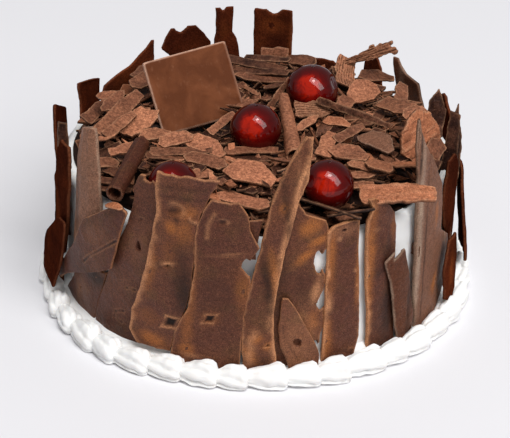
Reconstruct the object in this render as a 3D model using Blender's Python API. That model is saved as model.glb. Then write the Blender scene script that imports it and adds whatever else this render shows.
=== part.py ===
"""Black forest cake: a round cake covered in cream, with a piped cream border round its foot,
a fence of standing chocolate shards, and a heap of chocolate shavings, curls, four cherries and
a chocolate plaque on top. Metres, +Z up, the front of the cake faces -Y."""

import math

import bmesh
import bpy
from mathutils import Matrix, Vector

# Driving dimensions, in millimetres unless the name says otherwise
CAKE_R = 98.0            # cream-covered body
CAKE_H = 72.0
CAKE_EDGE = 4.5          # rounding of its upper rim
CAKE_SIDES = 48
BORDER_IN = 104.3        # piped border, inner wall
BORDER_OUT = 113.5       # its puffiest outer radius
BORDER_H = 10.5
BORDER_SHELLS = 42
SHARD_T = 1.8            # thickness of a standing shard
INNER = 98.7             # inner face of the shards that touch the cake
OUTER = 101.3            # inner face of the shards that lean on those
HEAP_R = 94.0
HEAP_BASE = 72.4
HEAP_H = 82.0            # usual height of the shavings
PLAQUE_W = 43.5
PLAQUE_H = 38.5
PLAQUE_T = 4.6
PLAQUE_BEVEL = 1.6
CLEAR = 0.4              # clearance of the heap round what stands in it

MM = 0.001

# Outline of each standing shard from foot to tip: (height, left azimuth, right azimuth), the
# azimuth in degrees from the front, positive towards +X. "foot" is the radius of its inner
# face, "lean" what that gains by the tip, "twist" what its right edge gains on its left, and
# "bow" how far its middle stands out.
SHARDS = {
    "shard_01": dict(foot=OUTER, lean=0.3, twist=0.2, bow=0.0, rows=(
        (1, -18.5, -9), (9, -22, -4.2), (22, -20.6, -3.8), (36, -17.1, -3.1), (52, -15.4, -1.6),
        (58, -15, -2), (66, -15, -1.8), (71, -15, 0.3), (80, -14.5, -2), (87, -13, -2.5), (93.5, -11, -5))),
    "shard_02": dict(foot=OUTER, lean=0.6, twist=-0.8, bow=0.2, rows=(
        (12, -31.5, -23), (18, -34.3, -22), (29, -33, -19.6), (41, -30.4, -17.4), (56, -28, -16.3),
        (66, -27, -16), (84, -25, -14.7), (96, -25, -12), (104, -24.5, -9.5))),
    "shard_03": dict(foot=INNER, lean=-0.2, twist=0.0, bow=0.2, rows=(
        (0.6, -52, -40), (8, -50.5, -34), (19, -48, -32), (36, -44, -29.5), (51, -41, -27),
        (67, -36.4, -25.5), (80, -33.8, -25), (91, -32.8, -26), (98.5, -31, -29))),
    "shard_04": dict(foot=103.2, lean=-0.4, twist=-0.4, bow=0.0, cols=5, rows=(
        (19, -70.5, -69), (24, -67.5, -64), (32, -63.2, -54.5), (40, -59, -45), (45, -56.5, -40.2),
        (58, -52.2, -38), (64, -50.5, -37), (72, -44, -35.6), (78, -39.5, -34.5), (80, -38, -36.5))),
    "shard_05": dict(foot=INNER, lean=0.0, twist=0.0, bow=0.3, rows=(
        (0.6, -73, -54), (8, -70, -51), (20, -63.5, -48.3), (28, -61, -46.7), (38, -58, -45))),
    "shard_06": dict(foot=INNER, lean=0.6, twist=0.0, bow=1.5, rows=(
        (42, -61.5, -47), (56, -59.5, -46), (75, -57.5, -45.6), (94, -55.2, -45.8),
        (104, -53.4, -46.1), (108.4, -52.6, -46.3), (112, -47.6, -46.5))),
    "shard_07": dict(foot=101.2, lean=-0.6, twist=-0.4, bow=0.3, rows=(
        (6, -80, -74.5), (26, -80, -69), (44, -82, -65), (58, -80, -62.5), (74, -71.5, -60.5),
        (86, -68.5, -59.5), (94, -64.5, -60))),
    "shard_08": dict(foot=99.6, lean=0.2, twist=0.0, bow=0.3, rows=(
        (8, -100, -88), (40, -101, -87), (70, -101, -86.5), (82, -101, -86.5), (88, -94.5, -86.5), (93, -89, -86.7))),
    "shard_09": dict(foot=108.4, lean=-4.6, twist=0.0, bow=0.3, rows=(
        (13.5, -83, -66), (22, -82, -63.5), (34, -77, -61.5), (46, -70, -60.5), (53, -65.5, -61))),
    "shard_10": dict(foot=INNER, lean=0.0, twist=0.0, bow=0.0, rows=(
        (4, -3, 8), (12, -1, 15), (18, 0, 17.3), (30, 0, 18.2), (37, 0, 18), (40, 0, 16),
        (46, 0.5, 17.5), (54, 0.5, 18), (61, 1, 16), (68, 1.5, 18), (78, 2.6, 18),
        (82, 3.2, 17.4), (86, 4, 12), (93, 5.5, 9.5))),
    "shard_11": dict(foot=OUTER, lean=-0.3, twist=0.4, bow=0.7, rows=(
        (4, -1.8, 6), (15, -2.7, 5.5), (28, -2.8, 4.7), (40, -2.1, 4.7), (55, -0.4, 5.8),
        (69, 1.2, 7), (80, 2.4, 8.5), (94, 4, 10), (104, 6, 12), (115, 8.5, 12.6),
        (125, 11.6, 13.2))),
    "shard_12": dict(foot=OUTER, lean=0.0, twist=0.0, bow=0.0, rows=(
        (5, 10, 17), (13, 8.3, 17), (18, 7, 16), (29, 6.3, 13), (45, 7, 8.4))),
    "shard_13": dict(foot=INNER, lean=-0.2, twist=0.0, bow=0.0, rows=(
        (66, -5, 0.2), (76, -5, 0.8), (84, -3, 1.6))),
    "shard_14": dict(foot=99.4, lean=0.2, twist=0.4, bow=0.0, rows=(
        (3, 18.4, 27.5), (18, 18.7, 29), (30, 18.9, 28.6), (45, 18.7, 28), (64, 18.7, 27.3),
        (76, 18.5, 27.2), (78.5, 20, 27.1), (80.5, 25.6, 27))),
    "shard_15": dict(foot=98.8, lean=0.8, twist=0.3, bow=0.6, rows=(
        (1, 33.5, 42.5), (10, 31.8, 41.3), (27, 31, 39.8), (42, 30, 39), (60, 29.3, 39),
        (71, 29.2, 39), (78, 29.2, 38), (83, 30.5, 36), (89, 29.3, 31))),
    "shard_16": dict(foot=101.8, lean=0.6, twist=0.0, bow=0.6, thick=1.4, rows=(
        (2, 42.8, 47.2), (17, 40, 47.7), (27, 38.8, 46.3), (42, 37, 44), (55, 34.5, 41.8),
        (59, 37.5, 41.2))),
    "shard_17": dict(foot=99.9, lean=-1.6, twist=-1.0, bow=0.0, cols=5, rows=(
        (3, 51, 58.5), (8, 50, 62.5), (16, 49.3, 69), (30, 48, 71.5), (43, 47.3, 69.5),
        (52, 47, 62), (66, 47, 62), (78, 46.8, 60.5), (90, 46.4, 56), (97, 45.8, 53),
        (105, 45.2, 49.3), (113, 44.9, 47.3), (120, 45.3, 46.4))),
    "shard_18": dict(foot=INNER, lean=0.0, twist=0.0, bow=0.0, rows=(
        (8, 74, 79), (36, 73.5, 79.5), (50, 66.5, 79), (62, 64.5, 78), (76, 64, 76),
        (87, 65, 70))),
    "shard_19": dict(foot=105.3, lean=-1.8, twist=0.0, bow=0.0, cols=3, rows=(
        (10.8, 64.5, 67.5), (14, 61.5, 69.5), (30, 60.8, 70.5), (46, 63, 69))),
    "shard_20": dict(foot=INNER, lean=0.0, twist=0.0, bow=0.3, rows=(
        (6, 81, 94), (40, 80.5, 95), (60, 82, 93), (66, 84, 90))),
    "shard_21": dict(foot=107.6, lean=-6.2, twist=0.0, bow=0.3, rows=(
        (13.5, 84, 96), (30, 83.5, 96), (50, 84, 95), (66, 86, 92))),
    "shard_22": dict(foot=INNER, lean=0.5, twist=0.4, bow=0.0, rows=(
        (8, 97, 112), (56, 97, 114), (73, 98.5, 116.5), (79, 96.2, 114.5), (83, 100.5, 112.5),
        (86, 104.5, 110.8), (89.3, 105.8, 108))),
    "shard_23": dict(foot=INNER, lean=-0.3, twist=-0.4, bow=0.0, rows=(
        (8, 118, 130), (50, 117.5, 131), (70, 117.6, 130), (78, 120.2, 131.3), (84.5, 121.6, 132.3),
        (86.5, 127.4, 132.6), (90, 130, 133), (94, 131.6, 133.3))),
    "shard_24": dict(foot=INNER, lean=0.3, twist=0.2, bow=0.2, rows=(
        (8, 137, 146), (40, 136.6, 147), (68, 137, 145.5), (84, 138, 145), (92, 140.4, 144.5))),
    "shard_25": dict(foot=99.0, lean=0.2, twist=-0.3, bow=0.0, rows=(
        (8, 149, 165), (40, 150, 163), (66, 149, 164), (75, 152, 164), (78.2, 153.5, 163.8), (81.5, 155.9, 162))),
    "shard_26": dict(foot=INNER, lean=1.2, twist=0.3, bow=0.4, rows=(
        (8, 170, 181), (40, 169, 182), (76, 170, 182), (92, 169.6, 182.4), (107.5, 170, 182))),
    "shard_27": dict(foot=99.0, lean=0.9, twist=-0.4, bow=0.0, rows=(
        (8, 187, 195), (40, 185.5, 195), (76, 186, 195), (90, 187.5, 195), (94, 189, 194.4),
        (109, 188.6, 194.8))),
    "shard_28": dict(foot=INNER, lean=0.2, twist=0.2, bow=0.0, rows=(
        (8, 198, 212), (50, 197.5, 212), (80, 197.2, 209.6), (84.5, 196.5, 210.2), (89, 196, 213.2),
        (95, 198.4, 211.5), (100.2, 201, 209.4))),
    "shard_29": dict(foot=99.0, lean=-0.2, twist=0.0, bow=0.0, cols=5, rows=(
        (8, 218, 236), (45, 217, 238), (70, 216.5, 238), (78, 216, 236.5), (81, 216, 231),
        (84, 216, 224.8), (88.3, 216, 221.6), (91.5, 216, 218.9), (95.4, 215.8, 216.6))),
    "shard_30": dict(foot=INNER, lean=0.6, twist=0.4, bow=0.6, rows=(
        (8, 241, 249), (40, 240, 250), (60, 239, 249.4), (78, 238.7, 248.8), (84.5, 238.7, 249.7),
        (86, 241.6, 249.8), (88.3, 248.4, 249.8))),
    "shard_31": dict(foot=99.0, lean=0.0, twist=0.0, bow=0.0, cols=2, rows=(
        (8, 254, 257.5), (36, 253.8, 258), (59, 254, 257))),
    "shard_32": dict(foot=OUTER, lean=0.3, twist=0.0, bow=0.2, rows=(
        (6, 108, 120), (24, 106, 122), (48, 110, 121), (66, 114, 119))),
    "shard_33": dict(foot=101.6, lean=0.0, twist=0.3, bow=0.2, rows=(
        (6, 142, 154), (20, 141, 156), (44, 145, 155), (62, 150, 153.5))),
    "shard_34": dict(foot=OUTER, lean=0.4, twist=0.0, bow=0.0, rows=(
        (5, 176, 191), (22, 177, 193), (40, 179, 190), (58, 183, 187))),
    "shard_35": dict(foot=OUTER, lean=0.2, twist=-0.3, bow=0.3, rows=(
        (6, 206, 222), (30, 208, 223), (52, 211, 221), (72, 216, 219))),
    "shard_36": dict(foot=101.9, lean=0.3, twist=0.0, bow=0.2, rows=(
        (5, 234, 246), (20, 232, 247), (42, 236, 245), (56, 240, 243))),
}

# Cherries: centre and radius of each
CHERRIES = {
    "cherry_a": ((27, 24, 92), 12.9),
    "cherry_b": ((-1.3, -24, 92.2), 11.9),
    "cherry_c": ((32, -73, 88), 11.2),
    "cherry_d": ((-38.2, -73, 86), 10.9),
}

# Rolls of chocolate: one end, other end, radius at each
ROLLS = {
    "roll_a": ((12.3, 14, 92.5), (17, -46, 88.5), 3.1, 4.6),
    "roll_b": ((-54.9, -40, 91.5), (-64.5, -80, 84), 4.0, 4.3),
    "curl_c": ((52.5, 64, 95), (68.8, 57.7, 104), 1.8, 4.4),
}

# Large loose flakes: centre, turn about Z, pitch of the length, roll of the width (degrees),
# length, width, sag of the middle, and thickness
FLAKES = {
    "curl_a": ((45, 53, 89.5), 88, 12, 25, 28, 13, -3.0, 2.0),
    "curl_b": ((27.3, 3.5, 90.0), 8, 2, 22, 19.5, 12, -3.0, 2.2),
    "flake_a": ((-3.8, -58.5, 86.0), -8, -2, 6, 26, 19, 0.8, 1.4),
    "flake_b": ((-6, -78.5, 82.2), -24, -2, -4, 27, 12, -0.8, 1.4),
    "flake_c": ((64, -77, 90.8), 2, 1, 18, 34, 13, 0.8, 2.2),
    "flake_d": ((77, -27, 91.5), 64, 6, 62, 29, 24, 1.2, 2.4),
    "flake_e": ((-60, -11.5, 89), 62, 12, 6, 24, 16, -1.0, 1.6),
    "flake_f": ((57, -26.5, 88), -30, -3, 6, 21, 15, 1.0, 1.4),
    "flake_g": ((53, 27.5, 90), 40, 10, 16, 20, 16, 1.6, 1.6),
    "flake_h": ((8, 88, 84.4), 2, 0, 80, 16, 11, 0.4, 1.8),
}

COLOURS = {
    "cream": ((0.90, 0.89, 0.86), 0.45),
    "dark": ((0.085, 0.040, 0.026), 0.42),
    "milk": ((0.190, 0.085, 0.048), 0.50),
    "heap": ((0.120, 0.055, 0.034), 0.55),
    "cherry": ((0.150, 0.004, 0.004), 0.12),
}


def clear_scene():
    for obj in list(bpy.data.objects):
        bpy.data.objects.remove(obj, do_unlink=True)


def material(name, kind):
    colour, rough = COLOURS[kind]
    mat = bpy.data.materials.new(name)
    mat.use_nodes = True
    shader = mat.node_tree.nodes["Principled BSDF"]
    shader.inputs["Base Color"].default_value = (*colour, 1.0)
    shader.inputs["Roughness"].default_value = rough
    shader.inputs["Metallic"].default_value = 0.0
    return mat


def add_solid(name, kind, verts, faces):
    """Closed body from points in millimetres, its faces turned outwards."""
    mesh = bpy.data.meshes.new(name)
    mesh.from_pydata([(x * MM, y * MM, z * MM) for x, y, z in verts], [], faces)
    bm = bmesh.new()
    bm.from_mesh(mesh)
    bmesh.ops.recalc_face_normals(bm, faces=bm.faces)
    bmesh.ops.triangulate(bm, faces=[f for f in bm.faces if len(f.verts) > 3])
    bm.to_mesh(mesh)
    bm.free()
    mesh.validate()
    mesh.update()
    obj = bpy.data.objects.new(name, mesh)
    bpy.context.scene.collection.objects.link(obj)
    mesh.materials.append(material("m_" + name, kind))
    return obj


def polar(radius, azimuth, height):
    """Point at an azimuth in degrees from the front (-Y), positive towards +X."""
    a = math.radians(azimuth)
    return (radius * math.sin(a), -radius * math.cos(a), height)


def slab(grid_out, grid_in):
    """Points and faces of a closed slab between two equal grids of points."""
    rows = len(grid_out)
    cols = len(grid_out[0])
    verts = [p for row in grid_out for p in row] + [p for row in grid_in for p in row]
    back = rows * cols
    faces = []
    for i in range(rows - 1):
        for j in range(cols - 1):
            a = i * cols + j
            faces.append((a, a + 1, a + cols + 1, a + cols))
            faces.append((back + a, back + a + cols, back + a + cols + 1, back + a + 1))
    rim = [j for j in range(cols)]
    rim += [i * cols + cols - 1 for i in range(1, rows)]
    rim += [(rows - 1) * cols + j for j in range(cols - 2, -1, -1)]
    rim += [i * cols for i in range(rows - 2, 0, -1)]
    for k, a in enumerate(rim):
        b = rim[(k + 1) % len(rim)]
        faces.append((a, back + a, back + b, b))
    return verts, faces


def turned(name, kind, profile, sides):
    """Body of revolution whose profile runs from the axis at the bottom to the axis on top."""
    rings = [p for p in profile if p[0] > 0]
    verts = [polar(r, 360.0 * k / sides, z) for r, z in rings for k in range(sides)]
    low = len(verts)
    verts += [(0, 0, profile[0][1]), (0, 0, profile[-1][1])]
    faces = []
    for i in range(len(rings) - 1):
        for k in range(sides):
            a = i * sides + k
            b = i * sides + (k + 1) % sides
            faces.append((a, b, b + sides, a + sides))
    last = (len(rings) - 1) * sides
    for k in range(sides):
        faces.append((low, (k + 1) % sides, k))
        faces.append((low + 1, last + k, last + (k + 1) % sides))
    return add_solid(name, kind, verts, faces)


def add_cake():
    e = CAKE_EDGE
    profile = [(0, 0), (CAKE_R - 1, 0), (CAKE_R, 1.5), (CAKE_R, CAKE_H - e)]
    for k in (1, 2, 3):
        a = math.radians(30 * k)
        profile.append((CAKE_R - e + e * math.cos(a), CAKE_H - e + e * math.sin(a)))
    profile.append((0, CAKE_H))
    return turned("cake", "cream", profile, CAKE_SIDES)


def shell_edges():
    """Azimuths where one piped shell ends and the next begins; the shells are uneven."""
    widths = [1.0 + 0.16 * math.sin(2.3 * k) + 0.10 * math.sin(5.1 * k + 1.0)
              for k in range(BORDER_SHELLS)]
    total = sum(widths)
    edges = [0.0]
    for w in widths:
        edges.append(edges[-1] + 360.0 * w / total)
    return edges


def add_border():
    edges = shell_edges()
    stations = []
    for k in range(BORDER_SHELLS):
        size = 1.0 + 0.07 * math.sin(3.7 * k) + 0.05 * math.sin(1.3 * k + 2.0)
        for s, puff in ((0.0, 0.74), (0.28, 1.0), (0.70, 0.94)):
            stations.append((edges[k] + s * (edges[k + 1] - edges[k]), puff * min(size, 1.04)))
    verts = []
    for azimuth, puff in stations:
        reach = BORDER_IN + (BORDER_OUT - BORDER_IN) * (0.30 + 0.70 * puff / 1.04)
        top = BORDER_H * puff / 1.04
        mid = BORDER_IN + 0.45 * (reach - BORDER_IN)
        verts += [polar(BORDER_IN, azimuth, 0), polar(reach - 1.6, azimuth, 0),
                  polar(reach, azimuth, 0.28 * top), polar(reach - 1.3, azimuth, 0.66 * top),
                  polar(mid, azimuth, top), polar(BORDER_IN, azimuth, 0.72 * top)]
    ring = 6
    count = len(stations)
    faces = []
    for i in range(count):
        for j in range(ring):
            a = i * ring + j
            b = i * ring + (j + 1) % ring
            c = ((i + 1) % count) * ring + (j + 1) % ring
            d = ((i + 1) % count) * ring + j
            faces.append((a, b, c, d))
    return add_solid("cream_border", "cream", verts, faces)


def add_shard(name, foot, lean, twist, bow, rows, thick=SHARD_T, cols=3):
    z0 = rows[0][0]
    z1 = rows[-1][0]
    face = []
    back = []
    for z, left, right in rows:
        rise = (z - z0) / (z1 - z0)
        face_row = []
        back_row = []
        for j in range(cols + 1):
            u = j / cols
            azimuth = left + u * (right - left)
            r = foot + lean * rise + twist * (u - 0.5) + bow * (1 - (2 * u - 1) ** 2)
            back_row.append(polar(r, azimuth, z))
            face_row.append(polar(r + thick, azimuth, z))
        face.append(face_row)
        back.append(back_row)
    verts, faces = slab(face, back)
    return add_solid(name, "dark", verts, faces)


def sphere(radius, centre, sides=16, rings=9):
    """Points and faces of a ball."""
    verts = []
    for i in range(1, rings):
        tilt = math.pi * i / rings
        for k in range(sides):
            a = 2 * math.pi * k / sides
            verts.append((centre[0] + radius * math.sin(tilt) * math.cos(a),
                          centre[1] + radius * math.sin(tilt) * math.sin(a),
                          centre[2] + radius * math.cos(tilt)))
    top = len(verts)
    verts += [(centre[0], centre[1], centre[2] + radius), (centre[0], centre[1], centre[2] - radius)]
    faces = []
    for i in range(rings - 2):
        for k in range(sides):
            a = i * sides + k
            b = i * sides + (k + 1) % sides
            faces.append((a, a + sides, b + sides, b))
    last = (rings - 2) * sides
    for k in range(sides):
        faces.append((top, k, (k + 1) % sides))
        faces.append((top + 1, last + (k + 1) % sides, last + k))
    return verts, faces


def plaque_points(grow=0.0):
    """Square tablet with a bevelled face, standing in the heap and leaning back."""
    w = PLAQUE_W / 2 + grow
    h = PLAQUE_H / 2 + grow
    t = PLAQUE_T / 2 + grow
    b = PLAQUE_BEVEL
    place = (Matrix.Translation(Vector((-33.0, 16.0, 95.1)))
             @ Matrix.Rotation(math.radians(5.5), 4, "Z")
             @ Matrix.Rotation(math.radians(-32), 4, "X")
             @ Matrix.Rotation(math.radians(-14.5), 4, "Y"))
    loops = ((0, t), (0, -t + b), (b, -t))
    verts = []
    for inset, y in loops:
        for sx, sz in ((-1, -1), (1, -1), (1, 1), (-1, 1)):
            verts.append(tuple(place @ Vector((sx * (w - inset), y, sz * (h - inset)))))
    faces = [(0, 1, 2, 3), (11, 10, 9, 8)]
    for i in (0, 4):
        for k in range(4):
            n = (k + 1) % 4
            faces.append((i + k, i + 4 + k, i + 4 + n, i + n))
    return verts, faces


def roll_points(start, end, r0, r1, grow=0.0, sides=12):
    """Points and faces of a tapered rod with flat ends."""
    a = Vector(start)
    b = Vector(end)
    along = (b - a).normalized()
    side = along.cross(Vector((0, 0, 1))).normalized()
    up = side.cross(along)
    a = a - along * grow
    b = b + along * grow
    verts = []
    for centre, r in ((a, r0 + grow), (b, r1 + grow)):
        for k in range(sides):
            t = 2 * math.pi * k / sides
            verts.append(tuple(centre + side * (r * math.cos(t)) + up * (r * math.sin(t))))
    faces = [tuple(range(sides)), tuple(range(2 * sides - 1, sides - 1, -1))]
    for k in range(sides):
        n = (k + 1) % sides
        faces.append((k, sides + k, sides + n, n))
    return verts, faces


def flake_points(centre, turn, pitch, tip, length, width, sag, thick, grow=0.0):
    """Uneven curved flake: a grid along its length, its middle sagging by a given depth."""
    place = (Matrix.Translation(Vector(centre))
             @ Matrix.Rotation(math.radians(turn), 4, "Z")
             @ Matrix.Rotation(math.radians(-pitch), 4, "Y")
             @ Matrix.Rotation(math.radians(tip), 4, "X"))
    spread = (0.55, 0.92, 1.0, 0.86, 0.96, 0.62)
    shift = (0.10, 0.04, -0.05, 0.05, -0.02, -0.10)
    upper = []
    lower = []
    for i in range(6):
        u = i / 5 - 0.5
        up_row = []
        low_row = []
        for j in range(4):
            v = (j / 3 - 0.5) * spread[i] + shift[i]
            z = sag * (4 * u * u - 1) + 0.5 * sag * (1 - 4 * (j / 3 - 0.5) ** 2)
            x = u * (length + 2 * grow)
            y = v * (width + 2 * grow)
            up_row.append(tuple(place @ Vector((x, y, z + thick / 2 + grow))))
            low_row.append(tuple(place @ Vector((x, y, z - thick / 2 - grow))))
        upper.append(up_row)
        lower.append(low_row)
    return slab(upper, lower)


def heap_height(x, y):
    """Uneven top of the heaped shavings."""
    r = math.hypot(x, y)
    z = HEAP_H + 1.6 * math.sin(0.11 * x + 0.6) * math.cos(0.09 * y)
    z += 1.2 * math.sin(0.23 * y + 1.1) + 0.9 * math.sin(0.31 * x - 0.19 * y)
    return z - 3.0 * (r / HEAP_R) ** 4


def add_heap(cutters):
    sides = 40
    radii = (12, 24, 36, 48, 60, 71, 81, 89, HEAP_R)
    verts = [(0, 0, heap_height(0, 0))]
    for r in radii:
        for k in range(sides):
            edge = 1.0 - 0.02 * (1 + math.sin(2.7 * k)) * (r == HEAP_R)
            x, y, z = polar(r * edge, 360.0 * k / sides, 0)
            verts.append((x, y, heap_height(x, y) - (2.5 if r == HEAP_R else 0.0)))
    for k in range(sides):
        x, y, z = verts[1 + (len(radii) - 1) * sides + k]
        verts.append((x, y, HEAP_BASE))
    verts.append((0, 0, HEAP_BASE))
    faces = []
    for k in range(sides):
        faces.append((0, 1 + k, 1 + (k + 1) % sides))
    for i in range(len(radii)):
        for k in range(sides):
            a = 1 + i * sides + k
            b = 1 + i * sides + (k + 1) % sides
            faces.append((a, a + sides, b + sides, b))
    low = len(verts) - 1
    for k in range(sides):
        a = 1 + len(radii) * sides + k
        b = 1 + len(radii) * sides + (k + 1) % sides
        faces.append((low, b, a))
    heap = add_solid("shaving_heap", "heap", verts, faces)
    for n, (points, sheets) in enumerate(cutters):
        cutter = add_solid("heap_cutter_%02d" % n, "heap", points, sheets)
        cutter.hide_render = True
        cutter.display_type = "WIRE"
        cut = heap.modifiers.new("clear_%02d" % n, "BOOLEAN")
        cut.operation = "DIFFERENCE"
        cut.solver = "EXACT"
        cut.object = cutter
    return heap


def main():
    clear_scene()
    add_cake()
    add_border()
    for name, spec in SHARDS.items():
        add_shard(name, **spec)
    cutters = []
    for name, (centre, radius) in CHERRIES.items():
        add_solid(name, "cherry", *sphere(radius, centre))
        cutters.append(sphere(radius + CLEAR, centre))
    add_solid("plaque", "milk", *plaque_points())
    cutters.append(plaque_points(CLEAR))
    for name, spec in ROLLS.items():
        add_solid(name, "dark" if name.startswith("roll") else "milk", *roll_points(*spec))
        cutters.append(roll_points(*spec, grow=CLEAR))
    for name, spec in FLAKES.items():
        add_solid(name, "milk", *flake_points(*spec))
        cutters.append(flake_points(*spec, grow=CLEAR))
    add_heap(cutters)


main()
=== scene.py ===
import math
import bpy
import numpy as np
from mathutils import Matrix, Vector


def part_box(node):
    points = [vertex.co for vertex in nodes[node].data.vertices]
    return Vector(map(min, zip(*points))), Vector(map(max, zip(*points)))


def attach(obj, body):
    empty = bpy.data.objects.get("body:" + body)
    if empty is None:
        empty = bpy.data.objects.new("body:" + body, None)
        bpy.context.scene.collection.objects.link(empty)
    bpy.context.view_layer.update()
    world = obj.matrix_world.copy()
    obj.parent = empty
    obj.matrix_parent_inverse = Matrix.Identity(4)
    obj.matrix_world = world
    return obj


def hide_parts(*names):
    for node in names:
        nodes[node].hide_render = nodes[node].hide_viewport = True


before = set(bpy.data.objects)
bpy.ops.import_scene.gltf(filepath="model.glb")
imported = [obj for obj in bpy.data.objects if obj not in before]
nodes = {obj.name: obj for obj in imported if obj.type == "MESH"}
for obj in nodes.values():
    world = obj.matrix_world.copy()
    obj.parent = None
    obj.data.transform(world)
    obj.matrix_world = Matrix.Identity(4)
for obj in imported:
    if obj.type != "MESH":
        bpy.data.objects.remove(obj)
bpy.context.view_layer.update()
mm = 0.001
print("frame loaded:", len(nodes), "nodes")



def softNoise(points, size, seed=0):
    # value noise from -1 to 1: random values at the corners of a lattice of the given size, mixed with smooth steps
    q = np.asarray(points, float) / size + 1000.0
    low = np.floor(q).astype(np.int64)
    f = q - low
    f = f * f * (3 - 2 * f)
    total = 0
    for corner in range(8):
        step = np.array([corner & 1, corner >> 1 & 1, corner >> 2 & 1])
        i, j, k = np.moveaxis(low + step, -1, 0)
        h = (i * 374761393 + j * 668265263 + k * 1442695041 + seed * 974634777) & 0xffffffff
        h = ((h ^ (h >> 13)) * 1274126177) & 0xffffffff
        weight = np.prod(np.where(step == 1, f, 1 - f), axis=-1)
        total = total + weight * (((h ^ (h >> 16)) & 0xffff) / 32767.5 - 1)
    return total


def roughNoise(points, size, seed=0, octaves=3):
    # sum of soft noises, each half the size and half the strength of the last
    total = 0
    for k in range(octaves):
        total = total + softNoise(points, size / 2 ** k, seed + 17 * k) / 2 ** k
    return total / 1.6


def line(values, size, seed=0):
    # noise along one number, for ragged outlines
    v = np.asarray(values, float)
    return softNoise(np.stack([v, 0 * v + 0.37 * size, 0 * v + seed * 3.1 * size], -1), size, seed)


def smooth(low, high, x):
    # 0 below low, 1 above high, a smooth step between
    t = np.clip((x - low) / (high - low), 0, 1)
    return t * t * (3 - 2 * t)


def polar(turn, radius, height):
    # point from an azimuth in radians from the front, positive towards +X
    return np.stack([radius * np.sin(turn), -radius * np.cos(turn), height + 0 * turn], -1)


def outward(verts, quads, tris):
    # turns a closed part's faces round if the volume that they hold comes out negative
    three = np.concatenate([quads[:, [0, 1, 2]], quads[:, [0, 2, 3]], tris])
    p, q, r = verts[three[:, 0]], verts[three[:, 1]], verts[three[:, 2]]
    if np.einsum("ij,ij->", p, np.cross(q, r)) < 0:
        return quads[:, ::-1], tris[:, ::-1]
    return quads, tris


def putMesh(name, parts, material, replaced=(), sharp=0):
    # one piece from closed parts, each with its points, four-sided faces, three-sided faces and marks of finish and
    # painted light (rim, melt, shade and tone, with painted highlights and painted shade among them); edges that turn
    # by more than the sharp angle in degrees stay crisp
    allVerts, allQuads, allTris, allMarks, start = [], [], [], [], 0
    for verts, quads, tris, marks in parts:
        verts = np.asarray(verts, float).reshape(-1, 3)
        quads = np.asarray(quads, np.int64).reshape(-1, 4)
        tris = np.zeros((0, 3), np.int64) if tris is None else np.asarray(tris, np.int64).reshape(-1, 3)
        quads, tris = outward(verts, quads, tris)
        allVerts.append(verts)
        allQuads.append(quads + start)
        allTris.append(tris + start)
        allMarks.append(np.tile((0, 0, 0, 0.5), (len(verts), 1)) if marks is None else np.asarray(marks, float).reshape(-1, 4))
        start += len(verts)
    verts, quads, tris, marks = map(np.concatenate, (allVerts, allQuads, allTris, allMarks))
    used = np.unique(np.concatenate([quads.ravel(), tris.ravel()]))
    place = np.full(len(verts), -1, np.int64)
    place[used] = np.arange(len(used))
    quads, tris, verts, marks = place[quads], place[tris], verts[used], marks[used]
    mesh = bpy.data.meshes.new(name)
    mesh.vertices.add(len(verts))
    mesh.vertices.foreach_set("co", verts.astype(np.float32).ravel())
    mesh.loops.add(quads.size + tris.size)
    mesh.loops.foreach_set("vertex_index", np.concatenate([quads.ravel(), tris.ravel()]).astype(np.int32))
    mesh.polygons.add(len(quads) + len(tris))
    starts = np.concatenate([4 * np.arange(len(quads)), quads.size + 3 * np.arange(len(tris))])
    mesh.polygons.foreach_set("loop_start", starts.astype(np.int32))
    mesh.update(calc_edges=True)
    # the marks hold the pieces' own colouring together with painted highlights and painted shade
    finishAndPaintedLight = mesh.color_attributes.new("finishAndPaintedLight", "FLOAT_COLOR", "POINT")
    finishAndPaintedLight.data.foreach_set("color", marks.astype(np.float32).ravel())
    mesh.validate()
    mesh.polygons.foreach_set("use_smooth", np.ones(len(mesh.polygons), bool))
    if sharp:
        mesh.set_sharp_from_angle(angle=math.radians(sharp))
    mesh.materials.append(material)
    piece = bpy.data.objects.new(name, mesh)
    bpy.context.scene.collection.objects.link(piece)
    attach(piece, "root")
    if replaced:
        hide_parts(*replaced)
    return piece


def sheetFaces(keep):
    # faces of a thin sheet from two equal grids of points that meet at the rim of the kept cells;
    # the second grid's points are numbered after the first's
    rows, cols = keep.shape[0] + 1, keep.shape[1] + 1
    index = np.arange(rows * cols).reshape(rows, cols)
    wide = np.zeros((rows + 1, cols + 1), int)
    wide[1:-1, 1:-1] = keep
    around = wide[:-1, :-1] + wide[1:, :-1] + wide[:-1, 1:] + wide[1:, 1:]
    rim = around < 4
    back = np.where(rim, index, index + rows * cols)
    front = np.stack([index[:-1, :-1], index[:-1, 1:], index[1:, 1:], index[1:, :-1]], -1)[keep]
    behind = np.stack([back[:-1, :-1], back[1:, :-1], back[1:, 1:], back[:-1, 1:]], -1)[keep]
    return np.concatenate([front, behind]), rim


def slabFaces(keep):
    # the same with upright walls: both grids keep their rim points, and each kept cell's free sides are closed by a wall
    rows, cols = keep.shape[0] + 1, keep.shape[1] + 1
    index = np.arange(rows * cols).reshape(rows, cols)
    under = index + rows * cols
    wide = np.zeros((rows + 1, cols + 1), int)
    wide[1:-1, 1:-1] = keep
    rim = wide[:-1, :-1] + wide[1:, :-1] + wide[:-1, 1:] + wide[1:, 1:] < 4
    corners = [(slice(0, -1), slice(0, -1)), (slice(0, -1), slice(1, None)), (slice(1, None), slice(1, None)), (slice(1, None), slice(0, -1))]
    beside = [wide[:-2, 1:-1], wide[1:-1, 2:], wide[2:, 1:-1], wide[1:-1, :-2]]
    faces = [np.stack([index[c] for c in corners], -1)[keep], np.stack([under[c] for c in corners[::-1]], -1)[keep]]
    for first, second, next in zip(corners, corners[1:] + corners[:1], beside):
        free = keep & (next == 0)
        faces.append(np.stack([index[second], index[first], under[first], under[second]], -1)[free])
    return np.concatenate(faces), rim


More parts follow.
